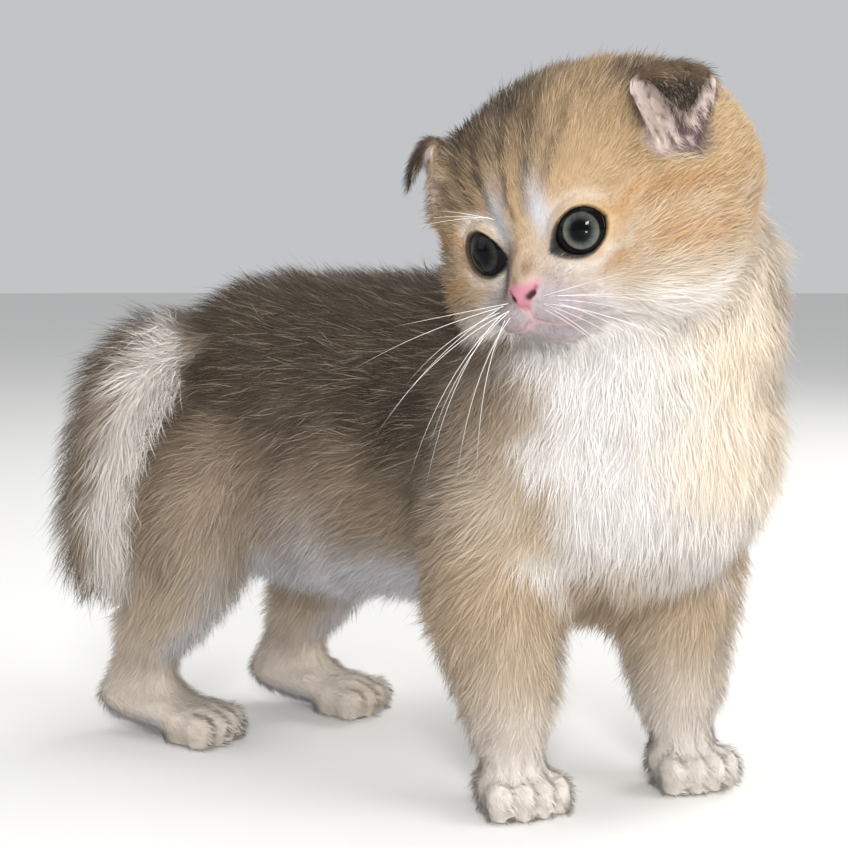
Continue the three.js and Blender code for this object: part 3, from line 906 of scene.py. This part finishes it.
def coat_colour(places, normals, weights):
    """The colour of the coat at each point, from the markings of body, face and ears, painted shade and light
    included.
    """
    head = to_head(places)
    flap, tip = ear_flap(head)
    # Darker towards the flap's tip: partly the ear's own dark tip, partly painted shade.
    ear_back = mix(EAR_CAP, EAR_TIP, clamp(tip + 0.15 * wave_noise(places, 8, 21)))
    colour = layered(
        body_colour(places, normals, weights),
        (face_colour(head), ramp(node_share(weights, "head"), 0.3, 0.8)),
        (mix(mix(GOLD, TAN, 0.5), ear_back, flap), ramp(node_share(weights, *EARS), 0.3, 0.7)),
        (ear_inside_colour(places), ear_inside(places, normals, weights)),
    )
    return clamp(colour)


# The skin is darker than the fur as painted shade under the coat.
SKIN_SHADE = 0.86  # the skin under the fur, against the fur's own colour
NOSE_HALF_WIDTH = 4.3


def skin_colour(skin):
    """The coat's markings on the skin, with the bare nose, lips, eye rims and inner ears."""
    head = to_head(skin.places)
    x, across, z = head[:, 0], np.abs(head[:, 1]), head[:, 2]
    inner_ear = ear_inside(skin.places, skin.normals, skin.crisp)
    wide = NOSE_HALF_WIDTH - 0.8 * np.clip(-11.2 - z, 0, 4.2)
    leather = ramp(across / wide, 1.25, 0.7) * ramp(x, 28.4, 30.4)
    leather *= ramp(z + 0.2 * across, -16.2, -15.2) * ramp(z, -8.8, -11.2)
    lips = np.maximum(0.6 * bell(skin.lips, 0.5), 0.35 * bell(skin.lips, 1.6))
    rim = ramp(skin.lids, rim_width(head), 0.3) * (x > 5)
    skin.bare = clamp(0.3 * inner_ear + leather + rim + bell(skin.lips, 0.5) * (x > 18))
    colour = layered(
        coat_colour(skin.places, skin.normals, skin.weights) * SKIN_SHADE,
        (ear_inside_colour(skin.places), inner_ear),
        (NOSE_PINK, leather),
        # The dark of the nostrils is partly painted shade of the openings.
        (NOSTRIL, clamp(skin.nostrils * 1.25)),
        (LIP_PINK, lips * (x > 18) * (1 - leather)),
        (EYE_RIM, rim),
    )
    return clamp(colour)


# An unwrap of the skin: each part is laid flat from the six ways its faces can look

CHART_GAP = 3.0


def chart_parts():
    """The groups of nodes that are unwrapped by themselves."""
    single = [(name,) for name in LABELS if "leg" in name or "ear_" in name]
    return [("head",), ("neck", "torso"), ("tail",)] + single


def unwrap(skin):
    """A map place for each corner of each triangle of the skin, from 0 to 1."""
    places, triangles = skin.places, skin.triangles
    a, b, c = (places[triangles[:, k]] for k in range(3))
    faces = unit(np.cross(b - a, c - a))
    groups = chart_parts()
    group_weights = np.stack([sum(skin.weights[:, NODE[name]] for name in names) for names in groups], 1)
    group = np.argmax(group_weights[triangles].sum(1), 1)
    flat = np.zeros((len(triangles), 3, 2))
    chart = np.zeros(len(triangles), int)
    sizes = []
    for number in range(len(groups)):
        own = np.flatnonzero(group == number)
        turn = HEAD_AXES if groups[number][0] in ("head",) + EARS else np.eye(3)
        looks = faces[own] @ turn
        axis = np.argmax(np.abs(looks), 1)
        sign = (looks[np.arange(len(own)), axis] > 0).astype(int)
        for which in range(3):
            for positive in (0, 1):
                some = own[(axis == which) & (sign == positive)]
                chart[some] = len(sizes)
                corners = places[triangles[some]] @ turn
                pair = np.delete(corners, which, 2)
                low = pair.reshape(-1, 2).min(0) if len(some) else np.zeros(2)
                flat[some] = pair - low
                sizes.append(flat[some].reshape(-1, 2).max(0) + CHART_GAP if len(some) else np.zeros(2))
    corners, side = pack_charts(np.array(sizes))
    return (flat + corners[chart][:, None, :] + CHART_GAP / 2) / side


def pack_charts(sizes):
    """Lays rectangles in rows inside the smallest square found, and gives their corners and its side."""
    side = math.sqrt(sizes.prod(1).sum())
    order = np.argsort(-sizes[:, 1])
    while True:
        corners = np.zeros_like(sizes)
        x = y = row = 0.0
        for number in order:
            wide, tall = sizes[number]
            if x + wide > side:
                x, y, row = 0.0, y + row, 0.0
            corners[number] = (x, y)
            x += wide
            row = max(row, tall)
        if y + row <= side and sizes[:, 0].max() <= side:
            return corners, side
        side *= 1.03


# The lie of the coat


def flow_directions(skin):
    """The way the hair lies at each vertex: away from the nose, along the body and down the legs."""
    x, y, z = (skin.places - SHIFT).T
    front = ramp(x - 0.5 * y, 40, 62)
    tail_root = ramp(z, 84, 100)
    lies = {
        "head": unit(to_head(skin.places) - (NOSE + np.array([-2, 0, 0]))) @ HEAD_AXES.T,
        "neck": mix(np.array([-0.75, 0.3, -0.65]), np.array([0.0, -0.12, -1.0]), front),
        "torso": mix(np.array([-1.0, 0.0, -0.42]), np.array([-0.1, -0.05, -1.0]), front),
        "tail": mix(np.array([-0.06, -0.15, -1.0]), np.array([-0.15, -0.9, -0.4]), tail_root),
    }
    leg = mix(np.array([-0.85, 0.0, -0.9]), np.array([-0.4, 0.0, -1.0]), ramp(z, 75, 30))
    for kind, heading in (("foreleg", FORE_TURN), ("hind_leg", HIND_TURN)):
        toes = np.array([math.cos(math.radians(heading)), math.sin(math.radians(heading)), -0.35])
        for which in ("_left", "_right"):
            lies[kind + which] = mix(leg, toes, ramp(z, 17, 9))
    for name, side in (("ear_left", 1), ("ear_right", -1)):
        lies[name] = np.array([0.3, 0.42 * side, -0.85]) @ HEAD_AXES.T
    flow = sum(lies[name] * skin.weights[:, NODE[name], None] for name in LABELS)
    for _ in range(4):
        flow = skin.neighbours.smooth(flow, 5)
        flow = unit(flow - (flow * skin.normals).sum(1, keepdims=True) * skin.normals)
    return flow


# On the feet the hair is no longer, wider or steeper than this
FOOT_MOST = {"length": 3.6, "width": 0.18, "lift": 27}


def growth(skin):
    """Hair length, lift, width and density at each vertex."""
    weights = skin.weights / skin.weights.sum(1, keepdims=True)
    grown = {key: coat_value(weights, key) for key in COAT_KEYS[1:]}
    z = (skin.places - SHIFT)[:, 2]
    up = to_head(skin.places)[:, 2]
    on_head = ramp(node_share(weights, "head"), 0.4, 0.8)
    from_nose = norm(to_head(skin.places) - NOSE)
    top = ramp(up, 10, 24)
    cheek = ramp(up, 4, -12) * ramp(from_nose, 16, 34)
    face_length = 1.3 + 3.2 * ramp(from_nose, 4, 36) + 2.6 * cheek + 1.4 * top
    face_length = np.minimum(face_length, 0.6 + 0.5 * np.maximum(skin.lids, 0))
    pale_side = node_share(weights, "tail") * ramp(skin.normals[:, 0], 0.2, 0.8)
    belly = ramp(-skin.normals[:, 2], 0.2, 0.8) * ramp(z, 70, 45) * (1 - ramp(z, 30, 20))
    foot = ramp(z, 42, 9)
    grown["length"] = blend(grown["length"], face_length, on_head) + 3 * pale_side
    grown["width"] *= 1 - 0.35 * on_head * ramp(from_nose, 36, 12)
    grown["lift"] += on_head * (7 * top - 7 * ramp(from_nose, 30, 12)) + 8 * pale_side + 10 * belly
    for key, most in FOOT_MOST.items():
        grown[key] = blend(grown[key], np.minimum(grown[key], most), foot)
    grown["length"] *= 1 - 0.45 * skin.toes
    grown["density"] *= 1 + 0.9 * on_head * ramp(from_nose, 34, 14)
    grown["density"] *= (1 + 0.6 * foot) * (1 - skin.bare) ** 2
    grown["density"] *= (1 - ramp(z, 1.2, 0.4)) * ramp(skin.lids, 0.45, 0.8)
    for key in FOOT_MOST:
        grown[key] = skin.neighbours.smooth(grown[key], 3)
    return grown


# A bent tuft has a root, a middle and a tip, and a straight one only a root and a tip.
# Each is drawn on the map as a small patch at its root's place.
PATCH = 0.003
BENT_SIDES = [(0, 4, 1), (0, 3, 4), (1, 5, 2), (1, 4, 5), (2, 3, 0), (2, 5, 3)]
BENT_FACES = np.array([(0, 1, 2)] + BENT_SIDES + [(3, 6, 4), (4, 6, 5), (5, 6, 3)])
BENT_MAP = PATCH * np.array(
    [(-0.5, -0.5), (0.5, -0.5), (0, -0.3), (-0.35, 0.1), (0.35, 0.1), (0, 0.15), (0, 0.5)]
)
STRAIGHT_FACES = np.array([(0, 1, 2), (0, 3, 1), (1, 3, 2), (2, 3, 0)])
STRAIGHT_MAP = PATCH * np.array([(-0.5, -0.5), (0.5, -0.5), (0, -0.3), (0, 0.5)])
GUARD_SHARE = 0.1  # of the bent tufts are guard hairs, longer, thinner and steeper
ROOT_SUNK = 0.25
LOWEST = 0.05  # no hair goes nearer the floor
DARK_TIPS, PALE_TIPS = 0.5, 0.25  # shares of the tufts in a dark part of the coat


class Tufts:
    """Places, colours and shading ways of the corners of many tufts of one kind."""


def tuft_colours(root, normal, weights, bent):
    """Colours along each tuft: lighter at the root and, in dark parts of the coat, ticked at the tip."""
    count = len(root)
    colour = coat_colour(root, normal, weights)
    bright = 1 + 0.05 * rng.normal(size=count) + 0.04 * wave_noise(root, 5, 45)
    ticked = ramp(colour.mean(1), 0.6, 0.22)
    dark = 0.75 * ticked * (rng.random(count) < DARK_TIPS)
    pale = 0.6 * ticked * (rng.random(count) < PALE_TIPS) * (dark == 0)
    low = clamp(mix(colour, PALE_GOLD, 0.25 * ticked) * bright[:, None])
    middle = clamp(mix(colour, PALE_GOLD, 0.6 * pale) * bright[:, None])
    high = layered(middle, (DARK_BROWN * 0.7, dark), (PALE_GOLD, pale))
    return np.stack([low] * 3 + [middle] * (3 if bent else 0) + [high], 1)


def grow_tufts(skin, count, bent):
    """Roots spread over the skin, each with a hair that rises and then lies along the coat."""
    weight = skin.grown["density"][skin.triangles].mean(1)
    chosen, shares = random_on(skin.places, skin.triangles, weight, count)
    corners = skin.triangles[chosen]

    def at_root(values):
        picked = values[corners]
        return (picked * (shares if values.ndim == 1 else shares[:, :, None])).sum(1)

    root = at_root(skin.places)
    normal = unit(at_root(skin.normals))
    flow = unit(at_root(skin.flow))
    length, lift, width = (at_root(skin.grown[key]) for key in ("length", "lift", "width"))
    side = np.cross(normal, flow)

    swirl = 0.2 * wave_noise(root, 16, 41) + 0.12 * wave_noise(root, 6, 42) + rng.normal(0, 0.2, count)
    flow = unit(flow * np.cos(swirl)[:, None] + side * np.sin(swirl)[:, None])
    side = np.cross(normal, flow)
    guard = (rng.random(count) < GUARD_SHARE) & bent
    length = length * (0.8 + 0.28 * rng.random(count) + 0.08 * wave_noise(root, 9, 43))
    length *= np.where(guard, 1.2, 1.0 if bent else 0.86)
    lift = np.radians(lift + 4 * wave_noise(root, 8, 44) + rng.normal(0, 5, count) + np.where(guard, 6, 0))
    lift = np.clip(lift, 0.1, 1.2)
    width = width * np.where(guard, 0.7, 1.0 if bent else 0.85) * (0.8 + 0.4 * rng.random(count))
    first = flow * np.cos(lift * 1.25)[:, None] + normal * np.sin(lift * 1.25)[:, None]
    second = flow * np.cos(lift * 0.72)[:, None] + normal * np.sin(lift * 0.72)[:, None]
    second = unit(second + 0.1 * rng.normal(size=(count, 3)))
    middle = root + first * (0.48 * length)[:, None]
    tip = middle + second * (0.52 * length)[:, None]
    flat = side * (width / 2)[:, None]
    ridge = np.cross(first, side) * (width * 0.3)[:, None]
    base = root - normal * ROOT_SUNK

    grown = Tufts()
    if bent:
        thin = 0.7 * flat
        rings = [base - thin, base + thin, base - ridge, middle - flat, middle + flat, middle - ridge, tip]
    else:
        rings = [base - flat, base + flat, base - ridge, tip]
    grown.places = np.stack(rings, 1)
    grown.places[:, :, 2] = np.maximum(grown.places[:, :, 2], LOWEST)
    shade = unit(normal + 0.3 * flow + 0.11 * rng.normal(size=(count, 3)))
    grown.normals = np.repeat(shade[:, None], len(rings), 1)
    grown.weights = at_root(skin.weights)
    grown.colours = tuft_colours(root, normal, grown.weights, bent)
    grown.map_place = (skin.map[chosen] * shares[:, :, None]).sum(1)
    grown.faces = BENT_FACES if bent else STRAIGHT_FACES
    grown.patch = BENT_MAP if bent else STRAIGHT_MAP
    return grown


def set_colours(mesh, colours):
    layer = mesh.color_attributes.new("coat_colour", "FLOAT_COLOR", "POINT")
    values = np.ones((len(colours), 4), np.float32)
    values[:, :3] = colours
    layer.data.foreach_set("color", values.ravel())


def set_map(mesh, corners):
    layer = mesh.uv_layers.new(name="OFBake")
    layer.uv.foreach_set("vector", np.clip(corners, 0.0005, 0.9995).astype(np.float32).ravel())


def tuft_object(name, grown, some, material, slot):
    """Some of the tufts as one piece of the coat."""
    corners = grown.places.shape[1]
    faces = (grown.faces[None] + corners * np.arange(len(some))[:, None, None]).reshape(-1, 3)
    mesh = mesh_from(name, grown.places[some].reshape(-1, 3), faces)
    set_colours(mesh, grown.colours[some].reshape(-1, 3))
    map_corners = (grown.map_place[some, None, :] + grown.patch[None])[:, grown.faces.ravel()]
    set_map(mesh, map_corners.reshape(-1, 2))
    smooth_shaded(mesh)
    mesh.normals_split_custom_set_from_vertices(grown.normals[some].reshape(-1, 3))
    add_piece(mesh, material, slot)


COAT_PIECES = {
    "coat_head": (("head",) + EARS, "gold_coat"),
    "coat_neck": (("neck",), "white_coat"),
    "coat_torso": (("torso",), "brown_coat"),
    "coat_tail": (("tail",), "brown_coat"),
    "coat_forelegs": (("foreleg_left", "foreleg_right"), "cream_coat"),
    "coat_hind_legs": (("hind_leg_left", "hind_leg_right"), "cream_coat"),
}
MOST_FACES = 195000  # in one piece
BENT_TUFTS = 60000
STRAIGHT_TUFTS = 225000


def build_coat(skin, material):
    """Long bent tufts and finer straight ones, in pieces by part of the body."""
    share = 1.0
    for kind, count, bent in (("long", BENT_TUFTS, True), ("fine", STRAIGHT_TUFTS, False)):
        grown = grow_tufts(skin, int(count * share), bent)
        part = np.argmax(grown.weights, 1)
        for name, (nodes, slot) in COAT_PIECES.items():
            own = np.flatnonzero(np.isin(part, [NODE[node] for node in nodes]))
            pieces = max(1, math.ceil(len(own) * len(grown.faces) / MOST_FACES))
            for number, some in enumerate(np.array_split(own, pieces)):
                label = f"{name}_{kind}" if pieces == 1 else f"{name}_{kind}_{number + 1}"
                tuft_object(label, grown, some, material, slot)


# Materials


def principled(name, from_mesh=True, **values):
    """A plain material, with its colour from the mesh unless told otherwise."""
    material = bpy.data.materials.new(name)
    material.use_nodes = True
    nodes, links = material.node_tree.nodes, material.node_tree.links
    shader = nodes["Principled BSDF"]
    for key, value in values.items():
        shader.inputs[key.replace("_", " ")].default_value = value
    if from_mesh:
        attribute = nodes.new("ShaderNodeAttribute")
        attribute.attribute_name = "coat_colour"
        links.new(attribute.outputs["Color"], shader.inputs["Base Color"])
    return material


def fur_material():
    return principled("fur", Roughness=0.65, Specular_IOR_Level=0.07, Sheen_Weight=0.015, Sheen_Roughness=0.4)


PORE_SCALE = 1500
PORE_DEPTH = 0.0003  # metres


def skin_material():
    """Slightly moist skin with fine pores."""
    material = principled("skin", Roughness=0.6, Specular_IOR_Level=0.3)
    nodes, links = material.node_tree.nodes, material.node_tree.links
    noise = nodes.new("ShaderNodeTexNoise")
    noise.inputs["Scale"].default_value = PORE_SCALE
    noise.inputs["Detail"].default_value = 3
    place = nodes.new("ShaderNodeTexCoord")
    bump = nodes.new("ShaderNodeBump")
    bump.inputs["Strength"].default_value = 0.35
    bump.inputs["Distance"].default_value = PORE_DEPTH
    links.new(place.outputs["Object"], noise.inputs["Vector"])
    links.new(noise.outputs["Fac"], bump.inputs["Height"])
    links.new(bump.outputs["Normal"], nodes["Principled BSDF"].inputs["Normal"])
    return material


def eye_material():
    return principled(
        "eye", Roughness=0.5, Specular_IOR_Level=0.0, Coat_Weight=1.0, Coat_Roughness=0.01, Coat_IOR=1.2
    )


def whisker_material():
    white = (0.86, 0.84, 0.8, 1)
    return principled("whisker", from_mesh=False, Base_Color=white, Roughness=0.35, Specular_IOR_Level=0.5)


# Eyes

IRIS_RADIUS = 3.9
PUPIL_RADIUS = 1.9
BULGE = 0.45  # of the clear front over the iris
IRIS_DARK = rgb(22, 25, 27)
IRIS_PALE = rgb(88, 91, 84)
# The right iris is painted darker, as painted shade.
IRIS_PAINTED_LIGHT = {1: 1.0, -1: 0.2}  # the right eye is in shade
BALL_BLACK = rgb(10, 7, 8)
PUPIL_BLACK = rgb(4, 5, 7)
EYE_SIDES = 96
FRONT_TURN = 0.75  # in radians: the finer rings reach this far round from the middle of the iris
FRONT_RINGS, BACK_RINGS = 66, 30
FRONT_LIMIT = 1.5  # radians; beyond it the ball is plain


def eye_colour(side, reach, angle, rays):
    """Colours round one ring of the eye: a pupil, a rayed iris with painted shade of the upper lid, and black
    beyond.
    """
    share = reach / IRIS_RADIUS
    even = np.ones(len(angle))
    iris = mix(IRIS_DARK, IRIS_PALE, ramp(share, 0.5, 0.92) * even) * IRIS_PAINTED_LIGHT[side]
    # Painted shade: the iris darkened towards the upper lid.
    shaded = 1 - 0.5 * ramp(share * (0.4 * np.cos(angle) + 0.9 * np.sin(angle)), -0.2, 0.8)
    return layered(
        iris * ((0.75 + 0.5 * rays) * shaded)[:, None],
        (BALL_BLACK, ramp(share, 0.93, 1.03) * even),
        (PUPIL_BLACK, (1 - ramp(reach, PUPIL_RADIUS - 0.5, PUPIL_RADIUS + 0.6)) * even),
    )


def build_eye(side, material):
    """A glossy ball whose front bulges over a round pupil and a rayed iris."""
    front = np.linspace(0, FRONT_TURN, FRONT_RINGS)
    bend = np.concatenate([front, np.linspace(FRONT_TURN, math.pi, BACK_RINGS + 1)[1:]])
    angle = np.linspace(0, 2 * math.pi, EYE_SIDES, endpoint=False)
    look, outwards, up = eye_axes(side, GAZE[side] * side)
    spokes = np.cos(angle)[:, None] * outwards + np.sin(angle)[:, None] * up
    places, colours = [], []
    rays = np.random.default_rng(60 + side).random(EYE_SIDES * 3)
    rays = np.convolve(rays, np.ones(3) / 3, "same")[EYE_SIDES : 2 * EYE_SIDES]
    for turn in bend:
        in_front = turn < FRONT_LIMIT
        reach = EYE_RADIUS * math.sin(turn)
        forward = EYE_RADIUS * math.cos(turn) + in_front * BULGE * bell(reach, 3.6)
        places.append(forward * look + reach * spokes)
        colours.append(eye_colour(side, reach if in_front else EYE_RADIUS, angle, rays))
    places, colours = np.concatenate(places), clamp(np.concatenate(colours))
    row = np.arange(len(bend) - 1)[:, None] * EYE_SIDES
    first = np.arange(EYE_SIDES)[None]
    after = (first + 1) % EYE_SIDES
    corners = [row + first, row + EYE_SIDES + first, row + EYE_SIDES + after, row + after]
    faces = np.stack(corners, 2).reshape(-1, 4)
    if side < 0:
        faces = faces[:, ::-1]
    which = "left" if side > 0 else "right"
    mesh = mesh_from(f"eye_ball_{which}", from_head(places + eye_middle(side)), faces)
    set_colours(mesh, colours)
    disc = np.tile(np.stack([np.cos(angle), np.sin(angle)], 1), (len(bend), 1))
    uv = 0.5 + 0.49 * disc * np.repeat(bend / math.pi, EYE_SIDES)[:, None] ** 0.6
    set_map(mesh, uv[faces.ravel()])
    smooth_shaded(mesh)
    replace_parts(add_piece(mesh, material, "eye"), f"eye_{which}")


# Whiskers


def hair_tube(path, thick, sides=5):
    """A tapered closed tube along a smooth path of points."""
    rows = len(path)
    along = unit(np.gradient(path, axis=0))
    across = unit(np.cross(along, np.array([0.3, 0.2, 1.0])))
    over = np.cross(along, across)
    angle = np.linspace(0, 2 * math.pi, sides, endpoint=False)
    radius = thick / 2 * (1 - np.linspace(0, 1, rows) ** 1.5 * 0.93)
    rings = path[:, None] + radius[:, None, None] * (
        np.cos(angle)[None, :, None] * across[:, None] + np.sin(angle)[None, :, None] * over[:, None]
    )
    places = np.concatenate([rings.reshape(-1, 3), path[:1], path[-1:]])
    faces = []
    last = (rows - 1) * sides
    for number in range(sides):
        after = (number + 1) % sides
        for row in range(0, last, sides):
            a, b = row + number, row + after
            faces += [(a, b, b + sides), (a, b + sides, a + sides)]
        faces += [(rows * sides, after, number), (rows * sides + 1, last + number, last + after)]
    return places, np.array(faces)


# Whiskers of the muzzle: how far each falls below level, in degrees, and its length
WHISKERS = ((-4, 32), (6, 44), (14, 40), (24, 46), (34, 42), (44, 38), (52, 33), (60, 28), (20, 30), (38, 34))
# On each side: their scale, their lean forward and their thickness
WHISKER_SIDES = {-1: (1.0, 0.12, 0.15), 1: (0.62, -0.3, 0.08)}
BROW_WHISKERS, BROW_THICKNESS = 3, 0.12  # over the right eye


def whisker_paths():
    """Whiskers on both sides of the muzzle and over the right eye, in the head's frame."""
    curves = []
    whiskers = np.random.default_rng(77)
    for side, (scale, forward, thick) in WHISKER_SIDES.items():
        for number, (fall, length) in enumerate(WHISKERS):
            place = (side * (5.2 + 1.8 * (number % 3)), -13.6 - 0.55 * number if number < 8 else -15.5)
            slope = math.radians(fall * 0.75 + 3 * whiskers.normal())
            aim = (forward, side * math.cos(slope), -math.sin(slope))
            sag = math.sin(math.radians(fall * 0.9)) * 0.5 + 0.05
            curves.append((place, aim, scale * length, (-0.12, 0, -sag), thick))
    for number in range(BROW_WHISKERS):
        place = (-8.5 - 1.5 * number, 8.0 + 0.8 * number)
        aim = (0.3, -0.75 - 0.1 * number, 0.42 - 0.1 * number)
        curves.append((place, aim, 15 + 2 * number, (-0.1, 0, -0.12), BROW_THICKNESS))
    share = np.linspace(0, 1, 11)[:, None]
    for place, aim, length, bend, thick in curves:
        aim = unit(np.array(aim))
        yield on_face([place])[0] - 0.5 * aim + length * (aim * share + np.array(bend) * share**2), thick


def build_whiskers(material):
    places, faces = [], []
    for path, thick in whisker_paths():
        corners, some = hair_tube(from_head(path), thick)
        faces.append(some + sum(map(len, places)))
        places.append(corners)
    mesh = mesh_from("whiskers", np.concatenate(places), np.concatenate(faces))
    smooth_shaded(mesh)
    add_piece(mesh, material, "white_coat")


# Camera, floor and light


def aim_at(thing, place, target):
    thing.location = place
    thing.rotation_euler = (Vector(target) - Vector(place)).to_track_quat("-Z", "Y").to_euler()


def build_camera():
    azimuth, elevation = math.radians(CAMERA_AZIMUTH), math.radians(CAMERA_ELEVATION)
    level = math.cos(elevation)
    back = np.array([math.sin(azimuth) * level, -math.cos(azimuth) * level, math.sin(elevation)])
    data = bpy.data.cameras.new("camera")
    data.sensor_width = SENSOR_WIDTH
    data.lens = SENSOR_WIDTH * FOCAL_LENGTH / PICTURE_SIDE
    data.clip_start = 0.01
    camera = add_object("camera", data)
    aim_at(camera, (CAMERA_TARGET + CAMERA_DISTANCE * back) * 0.001, CAMERA_TARGET * 0.001)
    bpy.context.scene.camera = camera


KITTEN_AIM = (0.01, 0, 0.08)
EYE_AIM = (0.064, -0.035, 0.13)  # the left eye, where both glints are aimed
PLAIN, COOL, WARM = (1, 1, 1), (0.94, 0.97, 1), (1, 0.97, 0.92)

# Place, size and watts of each light, then its aim and colour, with lengths in metres
LIGHTS = {
    "key": ((0.688, -0.856, 0.515), (0.2, 0.18), 9, EYE_AIM, PLAIN),
    "low_glint": ((0.30, -0.345, 0.035), (0.05, 0.04), 0.4, EYE_AIM, PLAIN),
    "window": ((1.15, 0.25, 0.55), (0.9, 0.9), 9.5, KITTEN_AIM, PLAIN),
    "overhead": ((0.2, -0.2, 1.3), (1.1, 1.1), 6, KITTEN_AIM, PLAIN),
    "fill": ((-0.9, -0.9, 0.5), (0.8, 0.6), 2, KITTEN_AIM, COOL),
    "rim": ((0.1, 0.95, 0.8), (0.6, 0.5), 5, KITTEN_AIM, WARM),
}


def area_light(name, place, size, watts, target, shade):
    data = bpy.data.lights.new(name, "AREA")
    data.shape = "RECTANGLE"
    data.size, data.size_y = size
    data.energy = watts
    data.color = shade
    aim_at(add_object(name, data), place, target)


def build_studio():
    bpy.ops.mesh.primitive_circle_add(vertices=96, radius=6, fill_type="NGON")
    floor = bpy.context.object
    floor.name = "floor"
    pale = (0.78, 0.77, 0.75, 1)
    floor.data.materials.append(principled("floor", from_mesh=False, Base_Color=pale, Roughness=0.85))
    floor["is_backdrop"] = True
    world = bpy.data.worlds.new("world")
    world.use_nodes = True
    sky = world.node_tree.nodes["Background"].inputs
    sky["Color"].default_value = (0.9, 0.92, 0.95, 1)
    sky["Strength"].default_value = 0.6
    bpy.context.scene.world = world
    for name, light in LIGHTS.items():
        area_light(name, *light)
    bpy.context.scene.view_settings.view_transform = "Standard"


def build_kitten():
    skin = build_skin()
    skin.map = unwrap(skin)
    colours = skin_colour(skin)
    skin.grown = growth(skin)
    skin.flow = flow_directions(skin)
    mesh = mesh_from("skin", skin.places, skin.triangles)
    set_colours(mesh, colours)
    set_map(mesh, skin.map.reshape(-1, 2))
    smooth_shaded(mesh)
    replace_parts(add_piece(mesh, skin_material(), "gold_coat"), *LABELS)
    build_coat(skin, fur_material())
    wet = eye_material()
    for side in (-1, 1):
        build_eye(side, wet)
    build_whiskers(whisker_material())


build_kitten()
build_camera()
build_studio()

size = {"before": bounds_before, "after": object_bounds()}
{key: [list(map(float, corner)) for corner in box] for key, box in size.items()}
